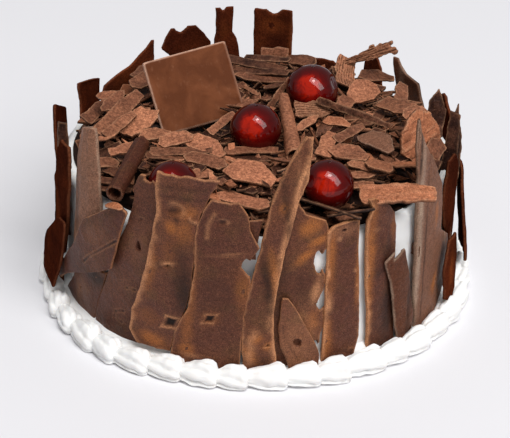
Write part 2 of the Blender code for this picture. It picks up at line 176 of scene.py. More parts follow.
def ringFaces(rows, cols, start=0):
    # faces of a tube: rows along it, columns round it and joined up
    index = start + np.arange(rows * cols).reshape(rows, cols)
    turned = np.roll(index, -1, axis=1)
    return np.stack([index[:-1], turned[:-1], turned[1:], index[1:]], -1).reshape(-1, 4)


def nodePoints(name):
    mesh = nodes[name].data
    co = np.empty(len(mesh.vertices) * 3, np.float32)
    mesh.vertices.foreach_get("co", co)
    return co.reshape(-1, 3).astype(float)



def newMaterial(name, roughness, specular=0.5):
    mat = bpy.data.materials.new(name)
    mat.use_nodes = True
    shader = mat.node_tree.nodes["Principled BSDF"]
    shader.inputs["Roughness"].default_value = roughness
    shader.inputs["Specular IOR Level"].default_value = specular
    return mat, mat.node_tree, shader


def node(tree, kind, **values):
    made = tree.nodes.new(kind)
    for key, value in values.items():
        if hasattr(made, key):
            setattr(made, key, value)
        else:
            made.inputs[key.replace("_", " ")].default_value = value
    return made


def noiseAt(tree, perMetre, detail=2.0, rough=0.5, stretch=None, warp=0.0):
    # noise on object coordinates; stretch scales the axes
    where = node(tree, "ShaderNodeTexCoord").outputs["Object"]
    if stretch:
        mapping = node(tree, "ShaderNodeMapping", Scale=stretch)
        tree.links.new(where, mapping.inputs["Vector"])
        where = mapping.outputs["Vector"]
    texture = node(tree, "ShaderNodeTexNoise", Scale=perMetre, Detail=detail, Roughness=rough, Distortion=warp)
    tree.links.new(where, texture.inputs["Vector"])
    return texture.outputs["Fac"]


def spread(tree, value, low, high, toLow=0.0, toHigh=1.0):
    # maps a value's range to another, held at the ends
    made = node(tree, "ShaderNodeMapRange")
    for key, number in zip(("From Min", "From Max", "To Min", "To Max"), (low, high, toLow, toHigh)):
        made.inputs[key].default_value = number
    tree.links.new(value, made.inputs["Value"])
    return made.outputs["Result"]


def mixed(tree, amount, first, second, how="MIX"):
    made = tree.nodes.new("ShaderNodeMix")
    made.data_type = "RGBA"
    made.blend_type = how
    for socket, value in ((made.inputs[0], amount), (made.inputs[6], first), (made.inputs[7], second)):
        if isinstance(value, (int, float)):
            socket.default_value = value
        elif isinstance(value, tuple):
            socket.default_value = (*value, 1.0)
        else:
            tree.links.new(value, socket)
    return made.outputs[2]


def maths(tree, how, first, second):
    made = tree.nodes.new("ShaderNodeMath")
    made.operation = how
    for socket, value in zip(made.inputs, (first, second)):
        if isinstance(value, (int, float)):
            socket.default_value = value
        else:
            tree.links.new(value, socket)
    return made.outputs[0]


def bumped(tree, shader, layers):
    # one bump after another: (height, distance in metres, strength)
    last = None
    for height, distance, strength in layers:
        made = node(tree, "ShaderNodeBump", Strength=strength, Distance=distance)
        tree.links.new(height, made.inputs["Height"])
        if last:
            tree.links.new(last, made.inputs["Normal"])
        last = made.outputs["Normal"]
    tree.links.new(last, shader.inputs["Normal"])


def chocolateMaterial(name, look):
    # broken chocolate: large mottling, fine grain, melted rims partly painted as highlights, orange melt partly painted
    # as a glow of light through thin chocolate, light specks painted as glints, and painted shade. The marks hold rim,
    # melt, shade and tone
    mat, tree, shader = newMaterial(name, look["roughness"], look["specular"])
    marks = node(tree, "ShaderNodeAttribute", attribute_name="finishAndPaintedLight")
    parts = node(tree, "ShaderNodeSeparateColor")
    tree.links.new(marks.outputs["Color"], parts.inputs["Color"])
    rim, melt, shade = parts.outputs
    tone = marks.outputs["Alpha"]
    patches = noiseAt(tree, 30, 3.0, 0.55, warp=0.4)
    blotches = noiseAt(tree, 95, 3.0, 0.6, warp=0.3)
    grain = noiseAt(tree, 2100, 1.0, 0.6)
    medium = noiseAt(tree, 620, 2.0, 0.6)
    specks = noiseAt(tree, 2700, 1.0, 0.5)
    colour = mixed(tree, spread(tree, patches, 0.36, 0.64), look["base"], look["warm"])
    colour = mixed(tree, spread(tree, blotches, 0.50, 0.78, 0.0, look["mottle"]), colour, look["olive"])
    colour = mixed(tree, spread(tree, tone, 0.0, 1.0), mixed(tree, 1.0, colour, look["deep"], "MULTIPLY"),
                   mixed(tree, 1.0, colour, look["pale"], "MULTIPLY"))
    colour = mixed(tree, 1.0, colour, mixed(tree, spread(tree, medium, 0.34, 0.66), look["mediumLow"], look["mediumHigh"]), "MULTIPLY")
    # orange melt, partly a painted glow where light shines through thin chocolate
    colour = mixed(tree, melt, colour, look["melt"])
    # rim colour: pale melted edges, partly painted highlights on the lit edges
    colour = mixed(tree, maths(tree, "MULTIPLY", rim, spread(tree, blotches, 0.30, 0.62, 0.55, 1.0)), colour, look["rim"])
    colour = mixed(tree, 1.0, colour, mixed(tree, spread(tree, grain, 0.34, 0.66), look["grainLow"], look["grainHigh"]), "MULTIPLY")
    # light specks painted as tiny glints in the rim colour
    colour = mixed(tree, spread(tree, specks, 0.66, 0.76, 0.0, look["specks"]), colour, look["rim"])
    # painted shade: the shade mark darkens the colour towards near-black
    colour = mixed(tree, shade, colour, look["shade"])
    tree.links.new(colour, shader.inputs["Base Color"])
    tree.links.new(spread(tree, blotches, 0.25, 0.75, look["roughness"] - 0.07, look["roughness"] + 0.09), shader.inputs["Roughness"])
    bumped(tree, shader, [(blotches, 0.0009, look["lumps"]), (medium, 0.0003, look["grit"]), (grain, 0.00012, look["grit"])])
    return mat


# rim is the colour of melted edges and painted highlights, melt of orange melt and painted glow, shade the near-black
# of painted shade
barkLook = dict(base=(0.100, 0.036, 0.024), warm=(0.130, 0.048, 0.025), olive=(0.110, 0.054, 0.024),
                deep=(0.50, 0.38, 0.33), pale=(1.35, 1.38, 1.38), melt=(0.36, 0.12, 0.030), rim=(0.52, 0.235, 0.11),
                shade=(0.010, 0.005, 0.004), grainLow=(0.62, 0.60, 0.60), grainHigh=(1.36, 1.35, 1.33),
                mediumLow=(0.84, 0.83, 0.82), mediumHigh=(1.16, 1.16, 1.16),
                mottle=0.75, specks=0.45, roughness=0.44, specular=0.14, lumps=0.9, grit=0.9)
shavingLook = dict(barkLook, base=(0.190, 0.076, 0.043), warm=(0.240, 0.100, 0.055), olive=(0.280, 0.122, 0.066),
                   deep=(0.16, 0.14, 0.16), pale=(2.1, 2.05, 1.95), rim=(0.52, 0.27, 0.15), melt=(0.38, 0.12, 0.045),
                   roughness=0.50, specular=0.10, mottle=0.6, grit=1.0, specks=0.45, grainLow=(0.66, 0.64, 0.63), grainHigh=(1.32, 1.31, 1.30),
                   mediumLow=(0.62, 0.58, 0.57), mediumHigh=(1.34, 1.33, 1.32))
barkFinish = chocolateMaterial("darkBark", barkLook)
shavingFinish = chocolateMaterial("shavedChocolate", shavingLook)


def creamMaterial(look):
    # whipped cream: white, soft, with tiny pores and a faint warm shade
    mat, tree, shader = newMaterial("whippedCream", look["roughness"], 0.3)
    drift = noiseAt(tree, 60, 2.0)
    pores = noiseAt(tree, 900, 2.0, 0.6)
    colour = mixed(tree, spread(tree, drift, 0.35, 0.7), look["white"], look["warm"])
    tree.links.new(colour, shader.inputs["Base Color"])
    shader.inputs["Subsurface Weight"].default_value = 0.25
    shader.inputs["Subsurface Radius"].default_value = (1.0, 0.9, 0.8)
    shader.inputs["Subsurface Scale"].default_value = 0.002
    bumped(tree, shader, [(drift, 0.001, 0.3), (pores, 0.0001, 0.35)])
    return mat


creamLook = dict(white=(0.93, 0.925, 0.91), warm=(0.90, 0.885, 0.86), roughness=0.5)
creamFinish = creamMaterial(creamLook)



cakeLook = dict(sides=220, smear=0.35, ripple=0.25)


def makeCake():
    # surface of revolution of the cake's outline, its radius and top rippled by noise as a spatula leaves them
    low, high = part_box("cake")
    radius, top, edge = high.x, high.z, 4.5 * mm
    bend = np.linspace(0, math.pi / 2, 7)
    across = np.concatenate([[radius - 1.2 * mm, radius - 0.3 * mm], np.full(30, radius),
                             radius - edge + edge * np.cos(bend), np.linspace(radius - edge, 0.5 * mm, 40)[1:]])
    up = np.concatenate([[0, 0.4 * mm], np.linspace(1.4 * mm, top - edge, 31)[:-1],
                         top - edge + edge * np.sin(bend), np.full(39, top)])
    turn = np.linspace(0, 2 * math.pi, cakeLook["sides"], endpoint=False)
    points = polar(turn[None, :], across[:, None] + 0 * turn, up[:, None] + 0 * turn)
    smear = cakeLook["smear"] * mm * softNoise(points * (1, 1, 3.0), 22 * mm, 3)
    ripple = cakeLook["ripple"] * mm * softNoise(points * (1, 1, 1.4), 6 * mm, 4)
    shift = (smear + ripple) * smooth(0, 3 * mm, up)[:, None]
    outward = np.where(up[:, None, None] > top - 0.1 * mm, (0, 0, 1.0), polar(turn[None, :], 1.0 + 0 * turn, 0)[0] * (1, 1, 0))
    points = points + (shift - 0.4 * mm)[..., None] * outward * smooth(0, 2 * mm, up)[:, None, None]
    count = len(points) * len(turn)
    verts = np.concatenate([points.reshape(-1, 3), [(0, 0, 0), (0, 0, top - 0.4 * mm)]])
    k = np.arange(len(turn))
    n = (k + 1) % len(turn)
    last = (len(points) - 1) * len(turn)
    tris = np.concatenate([np.stack([0 * k + count, n, k], -1), np.stack([0 * k + count + 1, last + k, last + n], -1)])
    putMesh("creamCake", [(verts, ringFaces(len(points), len(turn)), tris, None)], creamFinish, ["cake"])


borderLook = dict(shells=42, start=-18.5, centre=106.6, height=2.9, wide=6.1, tall=8.4, flutes=7,
                  groove=0.26, crease=0.3, limit=113.0, bulge=3.5, bulgeTurn=-42, bulgeSpread=22)


def makeBorder():
    # piped shells: each is an oval section carried along a short arc, swelling to its head and tapering to its tail,
    # its outline cut by flutes that twist a little, with one deeper crease along the outside
    look = borderLook
    count = look["shells"]
    k = np.arange(count + 1)
    edges = np.radians(look["start"] + 360 / count * k + 1.1 * np.sin(2.3 * k) * np.sin(math.pi * k / count) ** 0.3)
    s = np.linspace(-0.14, 1.13, 26)
    a = np.linspace(0, 2 * math.pi, 44, endpoint=False)
    size = np.interp(s, [-0.14, -0.06, 0.1, 0.35, 0.65, 0.92, 1.04, 1.10, 1.13], [0.02, 0.44, 0.70, 0.90, 1.03, 1.07, 0.92, 0.58, 0.02])
    shell = np.arange(count)[:, None, None]
    puff = (1 + 0.06 * np.sin(3.7 * shell) + 0.04 * np.sin(1.3 * shell + 2)) * size[None, :, None]
    twist = 0.55 * (s[None, :, None] - 0.5) + 0.3 * np.sin(shell * 1.9)
    phase = look["flutes"] / 2 * (a[None, None, :] + twist)
    flute = 1 - look["groove"] * (1 - np.abs(np.sin(phase))) ** 2.2
    outside = np.exp(-((a[None, None, :] + 0.10 + 0.25 * (s[None, :, None] - 0.5)) / 0.20) ** 2)
    outside = outside + np.exp(-((a[None, None, :] - 2 * math.pi + 0.10 + 0.25 * (s[None, :, None] - 0.5)) / 0.20) ** 2)
    section = puff * flute * (1 - look["crease"] * outside)
    drift = 0.5 * np.sin(shell * 2.1) + 0.8 * (s[None, :, None] - 0.5)
    radius = look["centre"] + drift + look["wide"] * section * np.cos(a)
    height = look["height"] * (0.55 + 0.45 * size[None, :, None]) + section * np.sin(a) * np.where(np.sin(a) < 0, look["height"] * 1.1, look["tall"])
    turn = edges[:-1, None, None] + s[None, :, None] * (edges[1:] - edges[:-1])[:, None, None] + 0 * radius
    over = np.maximum(radius - look["limit"] + 1.5, 0)
    radius = radius - over + 1.5 * np.tanh(over / 1.5)
    away = (turn - math.radians(look["bulgeTurn"]) + math.pi) % (2 * math.pi) - math.pi
    radius = radius + look["bulge"] * np.exp(-(away / math.radians(look["bulgeSpread"])) ** 2)
    points = polar(turn, radius * mm, height * mm)
    points[..., :2] *= (1 + 0.35 * mm / 0.11 * (softNoise(points, 4 * mm, 8) - 0.8))[..., None]
    points[..., 2] = np.maximum(points[..., 2] + 0.7 * mm * softNoise(points, 3.5 * mm, 9), 0.0)
    ring = ringFaces(len(s), len(a))
    faces = (ring[None] + (np.arange(count) * len(s) * len(a))[:, None, None]).reshape(-1, 4)
    ends = np.arange(count) * len(s) * len(a)
    j = np.arange(len(a))
    total = points.reshape(-1, 3)
    tips = np.stack([points[:, 0].mean(1), points[:, -1].mean(1)], 1).reshape(-1, 3)
    first = ends[:, None] + j
    lastRow = first + (len(s) - 1) * len(a)
    tipIndex = len(total) + 2 * np.arange(count)[:, None] + 0 * j
    caps = np.concatenate([np.stack([tipIndex, np.roll(first, -1, 1), first], -1).reshape(-1, 3),
                           np.stack([tipIndex + 1, lastRow, np.roll(lastRow, -1, 1)], -1).reshape(-1, 3)])
    # low fillet of cream behind the shells, where the shards' feet stand
    bed = np.array([(97.0, 0.2), (107.5, 0.2), (109.0, 1.6), (108.0, 4.6), (105.5, 6.0), (102.5, 6.2), (100.2, 7.2), (98.4, 9.6), (97.0, 11.0)])
    sides = 260
    turnBed = np.linspace(0, 2 * math.pi, sides, endpoint=False)
    wave = 1.0 + 0.10 * line(turnBed * 0.1, 0.008, 5) * (bed[:, 1:2] > 3)
    bedPoints = polar(turnBed[None], bed[:, :1] * mm + 0 * turnBed, bed[:, 1:2] * wave * mm)
    bedPoints = np.swapaxes(bedPoints, 0, 1)
    index = np.arange(sides * len(bed)).reshape(sides, len(bed))
    across = np.roll(index, -1, 0)
    bedFaces = np.stack([index, across, np.roll(across, -1, 1), np.roll(index, -1, 1)], -1).reshape(-1, 4)
    shellPart = (np.concatenate([total, tips]), faces, caps, None)
    bedPart = (bedPoints, bedFaces, None, None)
    putMesh("creamBorder", [shellPart, bedPart], creamFinish, ["cream_border"])


makeCake()
makeBorder()
print("cream done")



# Each shard of bark: tone from 0 deep to 1 pale, rag is how torn its outline is, and rims are the widths in mm of the
# melted light edges at left, right, top and foot, partly painted highlights on the lit edges. Marks are (kind, across,
# up, size in mm, ...)
# with places as shares of the shard's width at that height and of its height:
#   holes and notches: half width, half height, turn in degrees; pits, spots, melt marks and dark marks: half width,
#       half height, turn, strength
#   ridges and cracks: second place, width, strength
# A hole is a shallow pit painted near-black as the shade inside a hole; pits and cracks are painted with shade inside
# and a highlight on their rims; dark marks paint shade, and a few dark streaks in the chocolate; ridges are painted
# highlights, spots are pale tan marks, partly painted highlights, and melt marks are orange melt, partly a painted glow
barkShards = {
    "shard_01": dict(grow=(0.9, 1.2), tone=0.46, rag=0.7, rims=(1.3, 0.5, 0.5, 0.4), marks=[
        ("hole", 0.44, 0.34, 2.9, 1.7, 38), ("melt", 0.44, 0.34, 5.0, 3.6, 38, 0.35), ("pit", 0.46, 0.89, 2.4, 1.3, 5, 1.0),
        ("melt", 0.22, 0.145, 4.0, 3.0, 0, 0.8), ("spot", 0.24, 0.11, 8.0, 1.2, 4, 0.35), ("notch", 1.0, 0.655, 3.0, 4.4, 10),
        ("spot", 0.62, 0.72, 7.5, 0.6, 8, 0.35), ("spot", 0.55, 0.705, 9.0, 0.5, 4, 0.25), ("melt", 0.93, 0.52, 4.0, 9.0, 0, 0.45),
        ("melt", 0.05, 0.35, 3.0, 26.0, -6, 0.5), ("dark", 0.5, 0.5, 11.0, 16.0, 0, 0.18), ("ridge", 0.25, 0.93, 0.2, 0.80, 1.2, 0.5)]),
    "shard_02": dict(grow=(1.0, 1.2), tone=0.60, rag=0.8, rims=(3.6, 0.5, 0.9, 1.0), marks=[
        ("hole", 0.86, 0.16, 3.4, 2.4, 35), ("pit", 0.42, 0.80, 4.2, 3.0, -5, 1.0), ("dark", 0.40, 0.80, 3.6, 1.4, 10, 0.75),
        ("dark", 0.52, 0.755, 1.6, 2.6, 20, 0.6), ("melt", 0.44, 0.71, 3.0, 3.8, 0, 1.0),
        ("melt", 0.72, 0.80, 6.5, 4.0, 20, 0.75), ("melt", 0.70, 0.69, 5.5, 7.0, 0, 0.65), ("ridge", 0.82, 0.775, 0.98, 0.755, 0.9, 0.9),
        ("spot", 0.50, 0.505, 3.4, 1.0, 12, 0.9), ("pit", 0.47, 0.49, 2.0, 0.8, 12, 0.8), ("dark", 0.95, 0.36, 6.0, 24.0, 4, 0.75),
        ("melt", 0.50, 0.03, 7.0, 3.6, -14, 0.9), ("melt", 0.30, 0.16, 7.5, 5.0, 0, 0.35), ("dark", 0.5, 0.93, 15, 1.2, 3, 0.35),
        ("dark", 0.55, 0.875, 14, 1.0, 3, 0.3), ("melt", 0.12, 0.42, 2.5, 12.0, -12, 0.6), ("melt", 0.5, 0.57, 4.0, 8, 0, 0.3)]),
    "shard_03": dict(foot=(4.5, 2.2), grow=(0.9, 1.2), tone=0.56, rag=1.1, rims=(0.4, 0.3, 0.7, 0.3), marks=[
        ("notch", 0.95, 0.985, 2.4, 2.0, 30), ("crack", 0.30, 0.375, 0.62, 0.415, 0.8, 0.5), ("crack", 0.52, 0.36, 0.70, 0.365, 1.0, 0.9),
        ("crack", 0.42, 0.19, 0.58, 0.215, 1.1, 1.0), ("crack", 0.42, 0.165, 0.62, 0.15, 1.1, 0.9), ("spot", 0.5, 0.62, 7, 15, 0, 0.14),
        ("pit", 0.35, 0.76, 1.8, 0.9, 20, 0.6), ("dark", 0.6, 0.10, 14, 9, 0, 0.30)]),
    "shard_04": dict(foot=(4.5, 2.2), grow=(0.3, 0.6), tone=0.50, rag=0.6, rims=(0.9, 0.4, 0.8, 0.9), marks=[
        ("crack", 0.985, 0.70, 0.52, 0.36, 1.0, 1.2), ("dark", 0.5, 0.30, 16, 8, -10, 0.22), ("spot", 0.45, 0.66, 9, 5, 30, 0.15)]),
    "shard_05": dict(grow=(0.8, 1.0), tone=0.48, rag=1.4, rims=(0.5, 0.3, 0.4, 0.4), marks=[("spot", 0.4, 0.5, 8, 7, 20, 0.25), ("dark", 0.8, 0.85, 10, 5, 0, 0.7)]),
    "shard_06": dict(tone=0.95, rag=0.3, grey=1, rims=(0.4, 0.6, 0.5, 0.4), marks=[("dark", 0.06, 0.5, 3, 50, 0, 0.5), ("spot", 0.5, 0.1, 9, 5, 0, 0.3)]),
    "shard_07": dict(grow=(0.5, 0.5), tone=0.22, rag=0.6, red=1, rims=(0.4, 0.7, 0.4, 0.3), marks=[
        ("melt", 0.55, 0.45, 5, 20, 0, 0.25), ("dark", 0.15, 0.25, 7, 26, 0, 0.7), ("notch", 1.0, 0.22, 5.0, 16, 0)]),
    "shard_08": dict(tone=0.04, rag=0.4, red=1, rims=(0.2, 0.2, 0.2, 0.2), marks=[]),
    "shard_09": dict(tone=0.12, rag=1.2, red=1, rims=(0.2, 0.3, 0.2, 0.2), marks=[]),
    "shard_10": dict(grow=(0.2, 0.9), tone=0.52, rag=0.9, rims=(0.3, 1.0, 0.8, 0.4), marks=[
        ("melt", 0.72, 0.85, 5.5, 4.0, 30, 0.9), ("melt", 0.88, 0.765, 5.0, 1.9, 28, 1.0), ("melt", 0.72, 0.68, 5.5, 2.0, 40, 0.9),
        ("notch", 1.02, 0.635, 2.6, 5.5, 6), ("notch", 1.02, 0.385, 2.2, 3.2, -8), ("notch", 1.0, 0.13, 1.8, 3.4, 0),
        ("spot", 0.9, 0.47, 2.2, 7.0, -12, 0.7), ("melt", 0.85, 0.30, 3.0, 6.0, 0, 0.6), ("spot", 0.7, 0.25, 8, 12, 0, 0.25),
        ("dark", 0.66, 0.52, 7, 6, 0, 0.35), ("dark", 0.35, 0.6, 4, 30, 5, 0.4)]),
    "shard_11": dict(grow=(0.9, 0.5), tone=0.52, rag=0.5, rims=(1.2, 2.7, 0.8, 0.4), marks=[
        ("melt", 0.95, 0.40, 2.6, 16, 10, 1.0), ("ridge", 0.93, 0.92, 0.93, 0.52, 1.5, 0.95), ("ridge", 0.93, 0.52, 0.86, 0.22, 1.4, 0.35),
        ("melt", 0.50, 0.72, 2.0, 3.0, 0, 0.7), ("dark", 0.62, 0.40, 2.6, 17, 8, 0.75), ("dark", 0.66, 0.70, 1.6, 20, 8, 0.6),
        ("melt", 0.42, 0.165, 3.0, 2.6, 40, 0.9), ("ridge", 0.36, 0.19, 0.14, 0.05, 2.4, 0.6), ("melt", 0.22, 0.09, 2.4, 5.5, 30, 0.9),
        ("hole", 0.80, 0.135, 1.3, 0.7, 20), ("melt", 0.80, 0.135, 3.2, 2.0, 20, 0.9), ("dark", 0.55, 0.05, 5, 4, 0, 0.4),
        ("spot", 0.5, 0.88, 1.6, 12, 8, 0.15)]),
    "shard_12": dict(grow=(0.5, 0.6), tone=0.70, rag=0.5, matt=1, rims=(0.4, 0.6, 0.4, 0.3), marks=[
        ("crack", 0.12, 0.62, 0.30, 0.18, 0.8, 0.5), ("spot", 0.5, 0.4, 9, 16, 0, 0.22)]),
    "shard_13": dict(tone=0.40, rag=0.9, rims=(0.4, 0.3, 0.4, 0.3), marks=[("crack", 0.1, 0.6, 0.9, 0.25, 0.8, 1.0)]),
    "shard_14": dict(grow=(0.9, -0.2), tone=0.40, rag=0.35, rims=(1.9, 1.1, 0.8, 0.3), marks=[
        ("spot", 0.34, 0.89, 1.4, 1.6, 0, 0.8), ("spot", 0.02, 0.46, 2.2, 4.6, 0, 1.0), ("spot", 0.03, 0.67, 1.0, 3.0, 0, 1.0),
        ("melt", 0.08, 0.75, 2.4, 16, 0, 0.8), ("melt", 0.95, 0.65, 1.4, 18, 0, 0.7), ("spot", 0.85, 0.66, 0.9, 0.9, 0, 0.9),
        ("spot", 0.90, 0.56, 0.7, 0.8, 0, 0.9), ("spot", 0.5, 0.94, 8, 3, 0, 0.3), ("pit", 0.90, 0.07, 1.6, 2.4, 20, 0.6), ("melt", 0.05, 0.2, 2.6, 12, 0, 0.8)]),
    "shard_15": dict(grow=(-0.2, 0.4), tone=0.36, rag=0.35, rims=(2.3, 0.7, 0.9, 0.3), marks=[
        ("melt", 0.10, 0.5, 2.6, 44, 0, 0.85), ("dark", 0.70, 0.66, 3.4, 9, -12, 0.5), ("dark", 0.80, 0.30, 5.0, 24, 0, 0.72),
        ("spot", 0.33, 0.81, 2.0, 1.2, 0, 0.3), ("dark", 0.55, 0.56, 7.0, 3, 20, 0.4), ("melt", 0.9, 0.8, 1.6, 8, 0, 0.4)]),
    "shard_16": dict(tone=0.0, rag=0.6, grey=1, rims=(0.9, 0.4, 0.8, 0.3), marks=[
        ("notch", 0.40, 1.0, 1.6, 4.0, -35), ("pit", 0.80, 0.15, 1.3, 2.6, -20, 0.7), ("dark", 0.85, 0.5, 1.8, 26, 0, 0.6), ("crack", 0.70, 0.42, 0.74, 0.12, 0.8, 0.4)]),
    "shard_17": dict(grow=(0.2, 0.4), tone=0.42, rag=0.8, grey=1, rims=(0.7, 0.7, 0.6, 0.3), marks=[
        ("spot", 0.10, 0.42, 2.6, 64, 0, 1.0), ("dark", 0.235, 0.36, 0.9, 44, 0, 0.6), ("melt", 0.72, 0.52, 1.8, 6, 0, 0.8),
        ("melt", 0.88, 0.34, 1.6, 9, 14, 0.7), ("hole", 0.56, 0.19, 0.8, 0.9, 0), ("melt", 0.50, 0.185, 2.6, 5.0, -20, 0.9),
        ("spot", 0.88, 0.36, 0.9, 7, 10, 0.6), ("dark", 0.30, 0.84, 1.0, 12, 0, 0.8), ("notch", 0.50, 0.97, 0.9, 7.5, 0)]),
    "shard_18": dict(grow=(0.8, 0.6), tone=0.10, rag=0.8, red=1, rims=(0.2, 0.3, 0.2, 0.2), marks=[]),
    "shard_19": dict(tone=0.20, rag=1.2, red=1, rims=(0.3, 0.4, 0.3, 0.2), marks=[("melt", 0.5, 0.5, 3, 9, 0, 0.5)]),
    "shard_20": dict(grow=(0.8, 0.6), tone=0.06, rag=0.8, red=1, rims=(0.2, 0.3, 0.2, 0.2), marks=[]),
    "shard_21": dict(tone=0.05, rag=1.2, red=1, rims=(0.3, 0.4, 0.2, 0.2), marks=[]),
    "shard_22": dict(tone=0.12, rag=0.5, red=1, rims=(0.2, 0.3, 0.2, 0.2), marks=[("ridge", 0.62, 0.98, 0.66, 0.4, 0.5, 0.7)]),
    "shard_23": dict(tone=0.05, rag=0.4, grey=1, rims=(0.3, 0.3, 0.2, 0.2), marks=[("spot", 0.90, 0.6, 2.0, 60, 0, 0.8), ("dark", 0.4, 0.7, 6, 40, 0, 0.75)]),
    "shard_24": dict(tone=0.30, rag=0.8, red=1, rims=(0.6, 0.5, 0.4, 0.3), marks=[("melt", 0.5, 0.6, 7, 14, 0, 0.3)]),
    "shard_25": dict(tone=0.20, rag=0.8, red=1, rims=(0.4, 0.4, 0.4, 0.3), marks=[]),
    "shard_26": dict(tone=0.22, rag=0.9, red=1, rims=(1.4, 0.5, 0.5, 0.3), marks=[
        ("notch", 0.50, 1.01, 5.5, 4.2, 0), ("melt", 0.55, 0.90, 8, 5, 0, 0.9), ("melt", 0.04, 0.8, 2, 14, 0, 0.9), ("melt", 0.85, 0.78, 4, 7, 0, 0.5)]),
    "shard_27": dict(tone=0.20, rag=0.8, red=1, rims=(0.4, 0.6, 0.5, 0.3), marks=[("melt", 0.5, 0.86, 3, 6, 0, 0.6), ("notch", 0.55, 1.0, 2.4, 2.4, 0)]),
    "shard_28": dict(tone=0.18, rag=0.7, red=1, rims=(0.4, 0.4, 0.4, 0.3), marks=[("melt", 0.5, 0.80, 7, 6, 0, 0.4), ("notch", 0.62, 1.0, 4.6, 3.4, 0)]),
    "shard_29": dict(tone=0.30, rag=0.6, red=1, rims=(0.4, 0.4, 0.4, 0.3), marks=[("melt", 0.4, 0.80, 16, 9, 0, 0.5)]),
    "shard_30": dict(tone=0.18, rag=0.7, red=1, rims=(0.4, 0.5, 0.4, 0.3), marks=[]),
    "shard_31": dict(tone=0.16, rag=0.6, red=1, rims=(0.3, 0.3, 0.4, 0.3), marks=[]),
    "shard_32": dict(tone=0.55, rag=1.0, rims=(0.9, 0.4, 0.8, 0.4), marks=[("melt", 0.2, 0.5, 4, 9, 0, 0.6)]),
    "shard_33": dict(tone=0.62, rag=1.0, rims=(0.4, 1.2, 0.6, 0.4), marks=[("crack", 0.4, 0.7, 0.6, 0.4, 0.9, 0.9)]),
    "shard_34": dict(tone=0.50, rag=1.0, rims=(1.4, 0.5, 0.6, 0.4), marks=[("melt", 0.15, 0.3, 4, 8, 0, 0.7), ("hole", 0.55, 0.45, 1.8, 1.2, 20)]),
    "shard_35": dict(tone=0.58, rag=1.0, rims=(0.5, 1.0, 0.6, 0.4), marks=[("spot", 0.5, 0.5, 6, 10, 0, 0.3)]),
    "shard_36": dict(tone=0.46, rag=1.0, rims=(1.0, 0.4, 0.6, 0.4), marks=[("melt", 0.8, 0.3, 3, 7, 0, 0.6)]),
}


def readShard(name):
    # heights of a shard's rows, and at each row the azimuths and the inner and outer radii of its columns
    co = nodePoints(name)
    middle = math.atan2(co[:, 0].mean(), -co[:, 1].mean())
    turn = (np.arctan2(co[:, 0], -co[:, 1]) - middle + math.pi) % (2 * math.pi) - math.pi + middle
    table = np.unique(np.round(np.stack([co[:, 2], turn, np.hypot(co[:, 0], co[:, 1])], -1), 5), axis=0)
    heights = np.unique(table[:, 0])
    table = table.reshape(len(heights), -1, 2, 3)
    return heights, table[..., 1].mean(-1), np.sort(table[..., 2], -1)


def samples(length, cell, ends=(0.16, 0.5)):
    # shares from 0 to 1 about a cell apart, with closer ones near both ends, given in mm
    near = np.array([0, *ends]) * mm / length
    count = max(int((1 - 2 * near[-1]) * length / cell), 2)
    return np.concatenate([near[:-1], np.linspace(near[-1], 1 - near[-1], count), 1 - near[:-1][::-1]])


